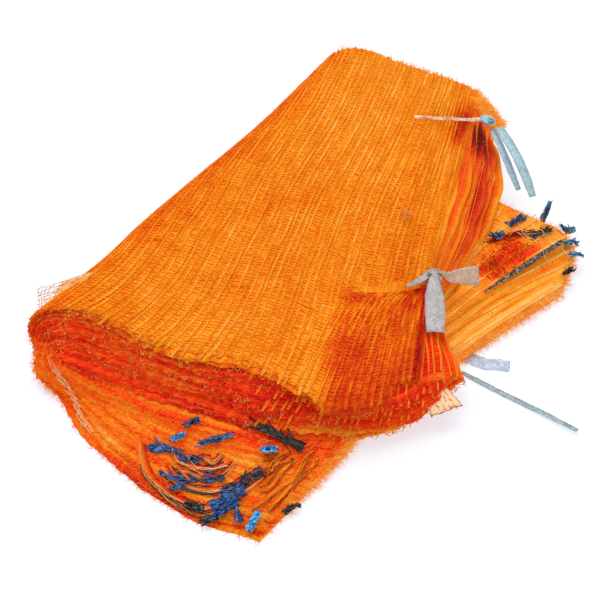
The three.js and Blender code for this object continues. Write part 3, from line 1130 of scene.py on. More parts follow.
@dataclass
class LeafLayer:
    """A layer of the stack: several ribbed leaves, each a thin sheet with ragged ends."""

    number: int
    last: int
    leaves: list[Leaf]
    knit: Knit
    random: Random
    relief: float = 0.28 * MM
    # Painted light on the relief's ridges and painted shade in its hollows.
    relief_shading: Pair = (0.05, -0.02)
    ragged: float = 0.006
    front_rows: Floats = (0, 0.012, 0.03, 0.055, 0.09, 0.14, 0.2, 0.27)
    tie_rows: Floats = (0.31, 0.333, 0.356, 0.4)
    back_rows: Floats = (0.5, 0.75, 0.9, 0.96, 0.985, 1)
    fine_rows: tuple[tuple[float, float, int], ...] = ((0, 0.2, 19), (0.2, 0.38, 45), (0.38, 1, 60))

    def is_fine(self, leaf: Leaf) -> bool:
        """Whether the leaf shows whole: the outermost and the innermost."""
        return leaf.depth == 0 or (self.number == self.last and leaf is self.leaves[-1])

    def row_shares(self, leaf: Leaf) -> Array:
        """Rows of points: close at the ends, and close all over on the leaves that show whole."""
        if self.is_fine(leaf):
            return np.unique(np.concatenate([np.linspace(*rows) for rows in self.fine_rows]))
        return np.array(self.front_rows + self.tie_rows + self.back_rows)

    def leaf_grid(self, leaf: Leaf) -> ClothGrid:
        """Ribbed cloth of one leaf.

        Args:
            leaf: The leaf.

        Returns:
            The cloth.
        """
        step = 0.5 if self.is_fine(leaf) else 1.0
        rib = np.arange(0, self.knit.ribs + step / 2, step)[None, :]
        ridge = (np.arange(rib.shape[1]) % 2 == 0)[None, :]
        flat_share = rib / self.knit.ribs
        tooth = self.random.uniform(0, self.ragged, (2, rib.shape[1])) * np.where(ridge, 1.6, 0.6)
        tooth = tooth * np.where(flat_share[0] < 0.55, 1, 0.45)
        first = leaf.first_row(flat_share) - tooth[0]
        last = leaf.last_row(flat_share) + tooth[1]
        row = lerp(first, last, self.row_shares(leaf)[:, None])
        share = np.clip(self.knit.rib_share(rib, row, leaf.phase), 0, 1)
        lift = np.where(ridge, self.relief, -self.relief)
        places = leaf.at(share, row, np.broadcast_to(lift, row.shape))
        # The ridges are painted lighter and the hollows darker: painted light and shade.
        tones = NetTones(leaf, share, row).all() + np.where(ridge, *self.relief_shading)
        net_map = np.stack(np.broadcast_arrays(rib, row * self.knit.wefts), axis=-1)
        return ClothGrid(places, tones, net_map)

    def build(self, material: Material) -> Piece:
        """Make the layer's piece in place of its solid."""
        grids = [self.leaf_grid(leaf) for leaf in self.leaves]
        piece = cloth_piece(grids, f"bag_leaves_{self.number}", material, CLOTH_THICK)
        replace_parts(piece, f"bag_layer_{self.number}")
        return piece


def slow_noise(random: Random, count: int, steps: int, knots: int) -> Array:
    """Random values from -1 to 1 that change slowly along strands, as strands by steps."""
    values = random.uniform(-1, 1, (count, knots))
    at = np.linspace(0, knots - 1.001, steps)
    low = at.astype(int)
    return lerp(values[:, low], values[:, low + 1], at - low)


@dataclass
class StrandNet:
    """Part of a leaf's net in real strands: twined ribs and zigzag wefts a little off the leaf."""

    leaf: Leaf
    knit: Knit
    random: Random
    lift: float
    brighter: float
    shares: Pair = (0.0, 0.62)
    rows: Pair = (0.0, 1.0)
    rib_steps: int = 210
    plies: int = 2
    ply_aside: float = 0.0014
    rag: float = 0.011
    missing: float = 0.06
    weft_darker: float = 0.12
    gathered: bool = False
    rag_to: float = 0.42
    dark_share: float = 0.15
    dark_by: float = 0.12
    palest: float = 2.0
    slant: float = 0.35
    twine: float = 0.35 * MM

    def __post_init__(self) -> None:
        """Number the ribs within the shares."""
        first = math.ceil(self.shares[0] * self.knit.ribs)
        last = math.floor(self.shares[1] * self.knit.ribs)
        self.ribs = np.arange(first, last + 1)[:, None].astype(float)

    def row_at(self, share: Array, part: Array) -> Array:
        """Row at a part of the way between the leaf's cut ends."""
        return lerp(self.leaf.first_row(share), self.leaf.last_row(share), part)

    def crease_ends(self, rib: Array) -> tuple[Array, Array]:
        """Rows at which a rib comes out of the crease at the front and goes into it at the back."""
        share = self.knit.rib_share(rib, self.knit.crease_from, self.leaf.phase)
        return self.knit.crease_row(self.knit.gathered(share)), self.knit.crease_row(share)

    def rib_way(self, first: Array, last: Array) -> tuple[Array, Array, Array]:
        """Rows, shares and depths below the leaf along every rib.

        Args:
            first: Rows of the ribs' front ends.
            last: Rows of the ribs' back ends.

        Returns:
            Rows, shares and depths as ribs by steps.
        """
        run = np.linspace(0, 1, self.rib_steps)[None, :]
        if not self.gathered:
            row = lerp(first, last, run)
            return row, self.knit.rib_share(self.ribs, row, self.leaf.phase), 0 * row
        out, into = self.crease_ends(self.ribs)
        turn = (out - first) / (out - first + last - into)
        front = run < turn
        row = np.where(front, lerp(first, out, run / turn), lerp(into, last, (run - turn) / (1 - turn)))
        ahead = self.knit.front_share(self.ribs, row, self.leaf.phase)
        share = np.where(front, ahead, self.knit.rib_share(self.ribs, row, self.leaf.phase))
        off = np.where(front, out - row, row - into) / self.knit.dip_long
        return row, share, self.knit.dip_deep * bell(off, 0, 1) * (share < self.knit.gather_wide)

    def add_ribs(self, strands: Strands) -> None:
        """Add the ribs, whose plies twine.

        Args:
            strands: The bundle that grows.
        """
        count = len(self.ribs)
        flat = self.ribs / self.knit.ribs
        rag = self.rag * np.where(flat < self.rag_to, 1, 0.2)
        ends = self.random.uniform(-1, 1, (2, count, 1)) * rag
        first = self.rows[0] + (ends[0] - rag if self.rows[0] == 0 else ends[0])
        last = self.rows[1] + 0.4 * (ends[1] + rag if self.rows[1] == 1 else ends[1])
        row, share, dip = self.rib_way(self.row_at(flat, first), self.row_at(flat, last))
        tone = NetTones(self.leaf, np.clip(share, 0, 1), row).all() + self.brighter
        fade = slow_noise(self.random, count, self.rib_steps, self.rib_steps // 8)
        tone = tone + 0.13 * fade + 0.1 * self.random.uniform(-1, 1, row.shape)
        for ply in range(self.plies):
            turn = 2 * np.pi * (row * self.knit.wefts / 2 + ply / self.plies + self.ribs * 0.37)
            height = self.lift + self.twine * np.cos(turn) - dip
            paths = self.leaf.at(share + self.ply_aside * np.sin(turn), row, height)
            strands.add(paths, self.knit.rib_thick * (1 + 0.25 * fade), np.minimum(tone, self.palest))

    def add_wefts(self, strands: Strands) -> None:
        """Add the wefts, each from one rib to the next.

        Args:
            strands: The bundle that grows.
        """
        gap = self.ribs[:-1]
        first = round(self.rows[0] * self.knit.wefts)
        last = round(self.rows[1] * self.knit.wefts)
        weft = np.arange(first, last)[None, :]
        size = (len(gap), last - first)
        slant = np.where((weft + gap.astype(int)) % 2 == 0, self.slant, -self.slant)
        slant = slant + self.random.uniform(-0.3, 0.3, size)
        middle = (weft + 0.5 + self.random.uniform(-0.25, 0.25, size)) / self.knit.wefts
        reach = np.linspace(0, 1, 4)
        part = middle[..., None] + slant[..., None] * (reach - 0.5) / self.knit.wefts
        rib = gap[..., None] + reach
        row = self.row_at(rib / self.knit.ribs, part)
        sag = 0.55 * self.lift + self.random.uniform(-0.3, 0.35, size)[..., None] * MM * hump(reach)
        keep = self.random.uniform(size=size) > self.missing
        lighter = self.brighter - self.weft_darker + 0.1 * self.random.uniform(-1, 1, (*size, 1))
        lighter = lighter - self.dark_by * (self.random.uniform(size=(*size, 1)) < self.dark_share)
        sides = [(self.knit.rib_share, row, keep)]
        if self.gathered:
            out, into = self.crease_ends(gap + 0.5)
            front = np.minimum(row, out[..., None])
            back = np.maximum(row, into[..., None])
            sides = [
                (self.knit.front_share, front, keep & (row.min(-1) < out)),
                (self.knit.rib_share, back, keep & (row.max(-1) > into)),
            ]
        for share_of, row, kept in sides:
            share = np.clip(share_of(rib, row, self.leaf.phase), 0, 1)
            tone = NetTones(self.leaf, share, row).all() + lighter
            strands.add(self.leaf.at(share, row, sag)[kept], self.knit.weft_thick, tone[kept])


@dataclass(frozen=True)
class TuckLip:
    """The lip of the top net that stands over the crease at the middle tie. Rows are behind the crease."""

    leaf: Leaf
    knit: Knit
    shares: Pair = (0.012, 0.108)
    rows: Floats = (0.03, 0.022, 0.015)
    reach: Floats = (1.5 * MM, 3 * MM, 4.4 * MM, 5.4 * MM)
    curl: float = 0.12
    lift: float = 0.7 * MM
    wave: Pair = (0.15, 60)
    lighter: float = 0.03
    steps: int = 60

    def build(self, material: Material) -> Piece:
        """Make the lip, whose reach fades away from the tie.

        Args:
            material: Its material.

        Returns:
            The new object.
        """
        share = np.linspace(*self.shares, self.steps)
        row = self.knit.crease_row(share) + np.array(self.rows)[:, None]
        behind = self.leaf.at(share, row, self.lift * np.array([0, 0.7, 1])[:, None])
        way = unit(behind[-1] - behind[-2])
        fade = smooth_step(1 - np.linspace(0, 1, self.steps), 0, 0.5)
        wave = 1 + self.wave[0] * np.sin(self.wave[1] * share)
        ahead = np.array(self.reach)[:, None] * fade * wave
        over = behind[-1] + way * ahead[..., None]
        over[..., 2] -= self.curl * ahead
        places = np.concatenate([behind, over])[::-1]
        tones = NetTones(self.leaf, share, row[-1]).all() + self.lighter
        tones = np.broadcast_to(tones, places.shape[:2])
        rib, weft = np.broadcast_arrays(share * self.knit.ribs, np.arange(len(places))[:, None])
        grid = ClothGrid(places, tones, np.stack([rib, weft], axis=-1))
        return cloth_piece([grid], "tuck_lip", material, CLOTH_THICK)


@dataclass
class Pleats:
    """The rounded edges of the layers between the ties: each layer's bags end in one roll."""

    layers: list[list[Leaf]]
    knit: Knit
    random: Random
    inset: float = 0.02
    bag_long: float = 0.56
    swell: Pair = (-3 * MM, 3.4 * MM)
    rows: Pair = (0.28, 1.0)
    rib_turns: Floats = (0.1, 0.24, 0.38, 0.52, 0.68, 0.85)
    tones: Floats = (0.56, 0.5, 0.42, 0.2, 0.36, 0.52)
    # Painted shade in each layer's hollow at the back tie.
    hollow_shades: Floats = (0.8, 0.8, 0.7, 0.4, 0.1, 0)
    waves: tuple[Floats, ...] = ((0.4, 2.1, 1), (0.2, 6.7, 2))
    # Painted shade in the dips between the rolls and painted light on the tuft.
    valley_shade: float = 0.75
    tuft: float = 0.4
    rib_thick: float = 0.45 * MM

    def places(self, leaves: list[Leaf], turn: Array, row: Array, phase: float) -> Array:
        """Places on one layer's roll.

        Args:
            leaves: The layer's leaves.
            turn: Shares of the way round, from the outer leaf (0) to the inner one (1).
            row: Rows from front to back.
            phase: Shift of the roll's waves.

        Returns:
            Points in the part's frame.
        """
        plan = leaves[0].plan
        start = leaves[0].at(np.array(self.inset), row)
        end = leaves[-1].at(np.array(self.inset), row)
        out = -leaves[0].sample(leaves[0].column_ways, np.array(self.inset), row)
        pinch = 1 - 0.8 * bell(row, plan.middle_tie, 0.06) - 0.2 * bell(row, plan.back_tie, 0.04)
        wave = 1 + sum(size * np.sin(2 * np.pi * (often * row + k * phase)) for size, often, k in self.waves)
        bulge = self.inset * self.bag_long * 0.9 + self.swell[0] + self.swell[1] * wave * pinch
        return start + (end - start) * turn[..., None] + out * (bulge * hump(turn) ** 0.6)[..., None]

    def tone(self, layer: int, turn: Array, row: Array) -> Array:
        """Tone on a roll: painted shade, deep red, in the dips between the rolls and where the back tie
        pulls the layers in, and painted light on the tuft at the back end.

        Args:
            layer: The layer's number, from 0.
            turn: Shares of the way round.
            row: Rows from front to back.

        Returns:
            Tones.
        """
        valley_shade = 1 - hump(turn) ** 0.7
        if layer == 0:
            valley_shade = np.where(turn < 0.5, 0, valley_shade)
        hollow = self.hollow_shades[layer] * bell(row, 0.87, 0.08)
        tuft = self.tuft * smooth_step(row, 0.94, 1)
        return self.tones[layer] - self.valley_shade * valley_shade - hollow + tuft

    def build(self, sheet: Material, strand: Material) -> None:
        """Make the rolls as one piece and the ribs on them as another.

        Args:
            sheet: Material of the rolls.
            strand: Material of the ribs.
        """
        grids: list[ClothGrid] = []
        ribs = Strands()
        for i, leaves in enumerate(self.layers):
            phase = float(self.random.uniform())
            row, turn = np.meshgrid(np.linspace(*self.rows, 90), np.linspace(0, 1, 15), indexing="ij")
            net_map = np.stack([turn * len(self.rib_turns), row * self.knit.wefts], axis=-1)
            grids.append(ClothGrid(self.places(leaves, turn, row, phase), self.tone(i, turn, row), net_map))
            row, turn = np.meshgrid(np.linspace(*self.rows, 120), self.rib_turns, indexing="xy")
            turn = turn + 0.03 * np.sin(2 * np.pi * (3 * row + turn * 7 + phase))
            lighter = self.random.uniform(0.15, 0.6, (len(self.rib_turns), 1))
            paths = self.places(leaves, turn, row, phase)
            ribs.add(paths, self.rib_thick, self.tone(i, turn, row) + lighter)
        cloth_piece(grids, "pleats", sheet, CLOTH_THICK)
        ribs.piece("pleat_ribs", strand)


@dataclass
class FrontStrands:
    """Short strands that stand out of the flap's cut front. Lengths are in millimetres."""

    leaves: list[Leaf]
    knit: Knit
    random: Random
    out: Pair
    down: Pair
    tone: Pair
    keep: float
    first_rib: int = 0
    thick: float = 0.3 * MM
    steps: int = 5

    def kept_ribs(self, leaf: Leaf) -> Array:
        """Numbers of the flap's ribs that have a strand."""
        rib = np.arange(self.first_rib, self.knit.ribs * float(leaf.fold_share(np.array(0.0))))
        return rib[self.random.uniform(size=rib.size) < self.keep]

    def add_paths(self, strands: Strands, leaf: Leaf, share: Array, *offs: Array) -> None:
        """Add one leaf's strands.

        Args:
            strands: Where to add them.
            leaf: The leaf.
            share: Shares of their roots.
            offs: How far their points are out, to the side and down.
        """
        out, aside, drop = offs
        row = leaf.first_row(share)
        way = -leaf.sample(leaf.row_ways, share, row)[:, None]
        side = leaf.sample(leaf.column_ways, share, row)[:, None]
        paths = leaf.at(share, row)[:, None] + (way * out[..., None] + side * aside[..., None]) * MM
        paths[..., 2] = np.maximum(paths[..., 2] - drop * MM, self.thick)
        strands.add(paths, self.thick, self.random.uniform(*self.tone, (len(share), 1)))


@dataclass
class RibEnds(FrontStrands):
    """Ends of the ribs, which hang over the front."""

    out: Pair = (0.8, 2.6)
    down: Pair = (1.5, 6)
    tone: Pair = (0.16, 0.6)
    keep: float = 0.5
    wander: float = 1.3

    def add_to(self, strands: Strands) -> None:
        """Add the ends.

        Args:
            strands: The bundle that grows.
        """
        run = np.linspace(0, 1, self.steps)
        for leaf in self.leaves:
            rib = self.kept_ribs(leaf)
            flat_row = leaf.first_row(rib / self.knit.ribs)
            share = np.clip(self.knit.rib_share(rib, flat_row, leaf.phase), 0, 1)
            out = self.random.uniform(*self.out, (rib.size, 1)) * np.sin(0.7 * np.pi * run)
            aside = self.random.normal(size=(rib.size, self.steps)) * self.wander * run
            drop = self.random.uniform(*self.down, (rib.size, 1)) * run**2
            self.add_paths(strands, leaf, share, out, aside, drop)


@dataclass
class EndLoops(FrontStrands):
    """Light loops of the knit."""

    out: Pair = (1.2, 3.2)
    down: Pair = (-0.5, 2.5)
    tone: Pair = (0.1, 0.6)
    keep: float = 0.7
    first_rib: int = 14
    steps: int = 6
    half_wide: Pair = (0.7, 2.0)
    astray: float = 0.004

    def add_to(self, strands: Strands) -> None:
        """Add the loops.

        Args:
            strands: The bundle that grows.
        """
        run = np.linspace(0, 1, self.steps)
        for leaf in self.leaves:
            rib = self.kept_ribs(leaf)
            count = (rib.size, 1)
            share = rib / self.knit.ribs + self.astray * self.random.uniform(-1, 1, rib.size)
            out = self.random.uniform(*self.out, count) * hump(run) ** 0.7
            aside = self.random.uniform(*self.half_wide, count) * (2 * run - 1)
            drop = self.random.uniform(*self.down, count) * hump(run)
            self.add_paths(strands, leaf, np.clip(share, 0, 1), out, aside, drop)


class CutEnd(Enum):
    """Places where fibres stand out of the stack."""

    FLAP_FRONT = "flap_front"
    FLAP_BACK = "flap_back"
    LOWER_FRONT = "lower_front"
    LOWER_BACK = "lower_back"
    FREE_EDGE = "free_edge"
    MOUTH = "mouth"
    FOLD = "fold"


@dataclass(frozen=True)
class LooseFibres:
    """Loose ends of strands along one cut end of the stack. Lengths are in millimetres."""

    end: CutEnd
    count: int
    long: Pair
    tone: Pair
    thick: float = 0.2 * MM
    part: Pair = (0.0, 1.0)
    spread: float = 0.9
    inset: float = 2.0 * MM
    strata: float = 0.3
    fold_reach: Pair = (-0.07, 0.05)

    def roots(self, leaf: Leaf, count: int, random: Random) -> tuple[Array, Array]:
        """Roots of one leaf's fibres and the directions in which they stand out.

        Args:
            leaf: The leaf.
            count: How many fibres to place.
            random: Seeded random numbers.

        Returns:
            Places and directions.
        """
        pick = random.uniform(*self.part, count)
        match self.end:
            case CutEnd.FREE_EDGE:
                share, row = np.zeros(count), lerp(leaf.front, leaf.back, pick)
                return leaf.at(share, row), -leaf.sample(leaf.column_ways, share, row)
            case CutEnd.MOUTH:
                share = np.ones(count)
                row = lerp(leaf.first_row(share), leaf.last_row(share), pick)
                return leaf.at(share, row), leaf.sample(leaf.column_ways, share, row)
            case CutEnd.FOLD:
                share = leaf.fold_share(pick) + random.uniform(*self.fold_reach, count)
                return leaf.at(share, pick), leaf.sample(leaf.outs, share, pick)
        at_front = self.end in (CutEnd.FLAP_FRONT, CutEnd.LOWER_FRONT)
        fold = leaf.fold_share(np.array(0.0 if at_front else 1.0))
        on_flap = self.end in (CutEnd.FLAP_FRONT, CutEnd.FLAP_BACK)
        share = pick * fold if on_flap else lerp(fold, 1, pick)
        row = leaf.first_row(share) if at_front else leaf.last_row(share)
        way = leaf.sample(leaf.row_ways, share, row)
        return leaf.at(share, row), -way if at_front else way

    def add_to(self, strands: Strands, leaves: list[Leaf], random: Random) -> None:
        """Add the fibres to a bundle of strands, at the fold on the outermost leaf alone.

        Args:
            strands: The bundle.
            leaves: All leaves from the outside in.
            random: Seeded random numbers.
        """
        leaves = leaves[:1] if self.end is CutEnd.FOLD else leaves
        each = max(1, self.count // len(leaves))
        for leaf in leaves:
            root, way = self.roots(leaf, each, random)
            long = random.uniform(*self.long, (each, 1)) * MM
            first = unit(way + self.spread * random.normal(size=(each, 3)) * 0.6)
            second = unit(first + self.spread * random.normal(size=(each, 3)))
            start = root - way * self.inset
            bend = start + first * (long / 2 + self.inset * 0.7)
            paths = np.stack([start, bend, bend + second * long / 2], axis=1)
            paths[..., 2] = np.maximum(paths[..., 2], self.thick * 1.2)
            tone = random.uniform(*self.tone, (each, 1)) + self.strata * (leaf.phase - 0.5)
            strands.add(paths, self.thick * np.array([1, 1, 0.45]), tone)


# Name, whether the fibres glow, which is painted light for light shining through them, and groups of fibres
FIBRES: tuple[tuple[str, bool, tuple[LooseFibres, ...]], ...] = (
    ("flap_front_fibres", False, (
        LooseFibres(CutEnd.FLAP_FRONT, 5000, (2, 5), (0.0, 0.4)),
    )),
    ("lower_front_fibres", True, (
        LooseFibres(CutEnd.LOWER_FRONT, 12000, (2.5, 8), (0.12, 0.7), 0.16 * MM),
    )),
    ("back_fibres", True, (
        LooseFibres(CutEnd.FLAP_BACK, 6000, (2.5, 7), (0.35, 0.8)),
        LooseFibres(CutEnd.LOWER_BACK, 6000, (3, 9), (0.35, 0.85)),
    )),
    ("edge_fibres", False, (
        LooseFibres(CutEnd.FREE_EDGE, 700, (2, 5), (0.15, 0.5), part=(0.2, 0.95)),
        LooseFibres(CutEnd.FOLD, 3500, (1.5, 4), (0.05, 0.45), 0.14 * MM),
    )),
    ("mouth_fibres", True, (
        LooseFibres(CutEnd.MOUTH, 7500, (3, 10), (0.4, 0.9), 0.15 * MM),
        LooseFibres(CutEnd.FREE_EDGE, 1500, (4, 9), (0.45, 0.9), part=(0.95, 1.0)),
    )),
)


def tape_line(node: str) -> Array:
    """Middle line of a laid tape's solid, from end to end.

    Args:
        node: The solid's name.

    Returns:
        Points in the part's frame.
    """
    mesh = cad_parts[node].data
    co = np.empty(len(mesh.vertices) * 3)
    mesh.vertices.foreach_get("co", co)
    corners = np.unique(co.reshape(-1, 3).round(6), axis=0)
    way = np.linalg.svd(corners[:, :2] - corners[:, :2].mean(0), full_matrices=False)[2][0]
    way = way if way[0] >= 0 else -way
    ordered = corners[np.argsort(corners[:, :2] @ way)]
    return ordered.reshape(-1, 4, 3).mean(axis=1)


def resample(points: Array, count: int) -> Array:
    """Points evenly spaced on a smooth curve through given points.

    Args:
        points: The points to pass.
        count: How many to make.

    Returns:
        The new points.
    """
    ends = np.concatenate([[2 * points[0] - points[1]], points, [2 * points[-1] - points[-2]]])
    fine = []
    for i in range(len(points) - 1):
        p0, p1, p2, p3 = ends[i : i + 4]
        t = np.linspace(0, 1, 24, endpoint=False)[:, None]
        square = (2 * p0 - 5 * p1 + 4 * p2 - p3) * t**2
        cubic = (3 * p1 - p0 - 3 * p2 + p3) * t**3
        fine.append(0.5 * (2 * p1 + (p2 - p0) * t + square + cubic))
    fine = np.concatenate([*fine, points[-1:]])
    run = np.concatenate([[0], np.cumsum(np.linalg.norm(np.diff(fine, axis=0), axis=1))])
    even = np.linspace(0, run[-1], count)
    return np.stack([np.interp(even, run, fine[:, k]) for k in range(3)], axis=-1)


def drift(random: Random, steps: int, size: float) -> Array:
    """Smooth random offsets along a strand, as steps by 3."""
    run = np.linspace(0, 2 * np.pi, steps)[:, None]
    waves = [np.sin(k * run + random.uniform(0, 2 * np.pi, 3)) / k for k in (1, 2, 4, 7)]
    return size * np.sum(waves, axis=0)


def along_way(values: Floats, along: Array) -> Array:
    """Values given at even stations, read between them."""
    return np.interp(along, np.linspace(0, 1, len(values)), values)


@dataclass
class Tape:
    """A thin tape along a line: it may widen, twist, fold lengthwise and crinkle.

    Widths, as shares of the full width, and twists, in degrees, are given at even stations.
    """

    line: Array
    wide: float
    seed: int
    thick: float = 0.35 * MM
    columns: int = 5
    steps: int = 22
    twists: Floats = (0.0, 0.0)
    widths: Floats = (1.0, 1.0)
    hollow: float = 0.0
    crinkle: float = 0.25 * MM
    ragged: float = 0.0
    lift: float = 0.0
    lowest: float = 0.0004

    def points(self) -> Array:
        """Places of the tape's middle face as steps by columns by 3."""
        random = np.random.default_rng(self.seed)
        line = resample(self.line, self.steps)
        along = np.linspace(0, 1, self.steps)
        line[:, 2] += self.lift
        ahead = unit(np.gradient(line, axis=0))
        side = unit(np.cross(ahead, np.array([0, 0, 1.0])))
        over = np.cross(side, ahead)
        angle = np.radians(along_way(self.twists, along))[:, None]
        width_way = side * np.cos(angle) + over * np.sin(angle)
        face_way = np.cross(width_way, ahead)
        share = np.linspace(-0.5, 0.5, self.columns)
        off = share[None, :] * self.wide * along_way(self.widths, along)[:, None]
        rise = self.hollow * (np.abs(share) * 2)[None, :] ** 2 * np.ones((self.steps, 1))
        rise = rise + self.crinkle * random.normal(size=(self.steps, self.columns))
        places = line[:, None] + width_way[:, None] * off[..., None] + face_way[:, None] * rise[..., None]
        fray = self.ragged * random.uniform(-1, 1, (2, self.columns))
        places[0] -= ahead[0] * fray[0][:, None]
        places[-1] += ahead[-1] * fray[1][:, None]
        places[..., 2] = np.maximum(places[..., 2], self.lowest)
        return places


def tape_piece(tapes: list[Tape], name: str, finish: TapeFinish) -> Piece:
    """Make one piece of one or more tapes.

    Args:
        tapes: The tapes.
        name: The piece's name.
        finish: Its finish.

    Returns:
        The new object.
    """
    bm = bmesh.new()
    for tape in tapes:
        part = bmesh.new()
        grid_points(part, tape.points())
        bmesh.ops.solidify(part, geom=part.faces[:], thickness=tape.thick)
        bmesh.ops.recalc_face_normals(part, faces=part.faces[:])
        scrap = bpy.data.meshes.new("part")
        part.to_mesh(scrap)
        part.free()
        bm.from_mesh(scrap)
        bpy.data.meshes.remove(scrap)
    mesh = bpy.data.meshes.new(name)
    bm.to_mesh(mesh)
    bm.free()
    return show(mesh, name, finish.material())


@dataclass
class Drawstrings:
    """The frayed drawstring ends that stand out at the cut ends, and the one drawstring along a mouth.

    Nudges and lifts are in millimetres. Numbers are those of the front ends.
    """

    random: Random
    wide: Pair = (4.2 * MM, 5.6 * MM)
    front: tuple[Shade, ...] = (
        Shade.NAVY, Shade.BRIGHT, Shade.ROYAL, Shade.ROYAL, Shade.NAVY, Shade.ROYAL, Shade.NAVY,
        Shade.ROYAL, Shade.PLUM, Shade.ROYAL, Shade.ROYAL, Shade.ROYAL, Shade.BLACK, Shade.BLACK,
        Shade.ROYAL, Shade.BRIGHT, Shade.BRIGHT, Shade.BLACK, Shade.BLACK,
    )
    back: tuple[Shade, ...] = (
        Shade.TEAL, Shade.NAVY, Shade.TEAL, Shade.BLACK, Shade.TEAL, Shade.TEAL, Shade.TEAL, Shade.BLACK,
    )
    slivers: int = 7
    front_lift: Pair = (2.4, 3.8)
    back_lift: Pair = (0.8, 1.8)
    sliver_wide: Pair = (0.6 * MM, 1.9 * MM)
    standing: tuple[Point, ...] = ((189, 328, 10), (192, 331, 20), (196, 334, 32))
    nudges: dict[int, Point] = field(
        default_factory=lambda: {
            3: (-3.5, -3, -0.5), 5: (-5.5, -2.5, -0.5), 6: (0, -5, -1), 7: (-1, -7.5, -1.5),
            9: (-2, -8, -1.5), 10: (-5, -9, 0), 11: (12, -4, 0), 12: (-7, -3, 1), 13: (0, 1, 1.5),
            14: (0, -2.5, 0.5), 15: (-9, 0, 1), 16: (-10, 3, 1), 17: (0, 2, 2), 18: (-6, 2, 1.5),
            19: (0, 1, 1),
        }
    )
    wider_ends: tuple[int, ...] = (4, 5, 6, 13, 14, 16, 17)
    wider: float = 1.5
    clump: tuple[int, ...] = (9, 10, 11, 12, 18)
    clump_wider: float = 1.7
    clump_slivers: int = 24
    longer: dict[int, float] = field(default_factory=lambda: {18: 1.3})
    strip_nudge: Point = (3, 5, 0.5)

    def finish(self, shade: Shade) -> TapeFinish:
        """Woven plastic of one shade."""
        name = f"drawstring_{shade.name.lower()}"
        # The large light factor paints strong highlights on the crinkles.
        return TapeFinish(name, shade, 0.36, speckle=480, crinkle=230, light=3.0)

    def sliver(self, line: Array, seed: int, lift: Pair) -> Tape:
        """Make a thin strip that frays off a drawstring end.

        Args:
            line: The drawstring end's middle line.
            seed: Seed of the strip's crinkles.
            lift: How far it stands off its solid, in millimetres.

        Returns:
            The strip.
        """
        turn = math.radians(self.random.normal() * 20)
        cos, sin = math.cos(turn), math.sin(turn)
        spin = np.array([[cos, sin, 0], [-sin, cos, 0], [0, 0, 1]])
        shift = self.random.normal(size=3) * np.array([1.3, 1.3, 0]) * MM
        along = self.random.uniform(-0.35, 0.35) * (line[-1] - line[0])
        off = (line - line.mean(0)) * self.random.uniform(0.3, 0.75) @ spin
        up = np.array([0, 0, self.random.uniform(0, 2.2)]) * MM
        curl = np.linspace(-1, 1, len(line))[:, None] ** 2 * up
        return Tape(
            line.mean(0) + off + shift + along + curl,
            self.random.uniform(*self.sliver_wide),
            seed,
            columns=2,
            steps=9,
            twists=tuple(self.random.uniform(-60, 60, 3)),
            widths=(1.0, 1.0, 0.3),
            crinkle=0.2 * MM,
            lift=self.random.uniform(*lift) * MM + 0.5 * MM,
        )

    def front_line(self, node: str, number: int) -> Array:
        """Middle line of a front end, moved to where the photograph shows it."""
        line = tape_line(node)
        line = line.mean(0) + (line - line.mean(0)) * self.longer.get(number, 1.0)
        return line + np.array(self.nudges.get(number, (0, 0, 0))) * MM

    def build_end(self, side: str, number: int, shade: Shade) -> None:
        """Make one drawstring end: a crumpled ribbon and the strips that fray off it.

        Args:
            side: Which cut ends it stands out of.
            number: Its number there, from 1.
            shade: Its colours.
        """
        node = f"drawstring_{side}_{number:02d}"
        in_clump = False
        wider, lift = self.wider, self.back_lift
        if side == "front":
            line, lift = self.front_line(node, number), self.front_lift
            in_clump = number in self.clump
            wider = self.clump_wider if in_clump else self.wider if number in self.wider_ends else 1
        elif number == 1:
            line = to_frame(np.array(self.standing, float))
        else:
            line = tape_line(node)
        ribbon = Tape(
            line + self.random.normal(size=line.shape) * 0.4 * MM,
            self.random.uniform(*self.wide) * wider,
            seed=number,
            twists=tuple(self.random.uniform(-30, 30, 4)),
            widths=tuple(self.random.uniform(0.55, 1.1, 5)),
            hollow=self.random.uniform(-0.8, 1.2) * MM,
            crinkle=0.35 * MM,
            ragged=1.8 * MM,
            steps=14,
            lift=self.random.uniform(*lift) * MM,
        )
        count = self.clump_slivers if in_clump else self.slivers
        strips = [self.sliver(line, 50 * number + k, lift) for k in range(count)]
        name = f"string_end_{side}_{number:02d}"
        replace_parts(tape_piece([ribbon, *strips], name, self.finish(shade)), node)

    def build(self) -> None:
        """Make every drawstring end and the strip along the mouth."""
        for side, shades in (("front", self.front), ("back", self.back)):
            for number, shade in enumerate(shades, 1):
                self.build_end(side, number, shade)
        node = "drawstring_mouth_strip"
        line = tape_line(node) + np.array(self.strip_nudge) * MM
        strip = Tape(line, self.wide[0], 40, hollow=0.5 * MM, lift=2.2 * MM, widths=(0.3, 0.9, 1.1, 1))
        finish = TapeFinish("drawstring_woven", Shade.SLATE, 0.36, speckle=420, crinkle=420, light=5.0)
        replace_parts(tape_piece([strip], "mouth_string", finish), node)


class Lay(Enum):
    """How a free tail lies."""

    HANGING = "hanging"
    LOOSE = "loose"


@dataclass(frozen=True)
class FreeTail:
    """A tail of a tie that hangs or lies free, with its route in the plan."""

    name: str
    route: tuple[Point, ...]
    wide: float
    shade: Shade
    lay: Lay
    path_points: int = 24
    widths: Floats = (0.8, 1, 1, 1, 0.95, 0.7)

    def build(self) -> None:
        line = resample(to_frame(np.array(self.route, float)), self.path_points)
        shape = {"columns": 3, "steps": self.path_points, "widths": self.widths, "crinkle": 0.15 * MM}
        tape = Tape(line, self.wide, len(self.name), **shape)
        piece = tape_piece([tape], self.name, TapeFinish(self.name, self.shade))
        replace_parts(piece, f"tie_{self.name}")


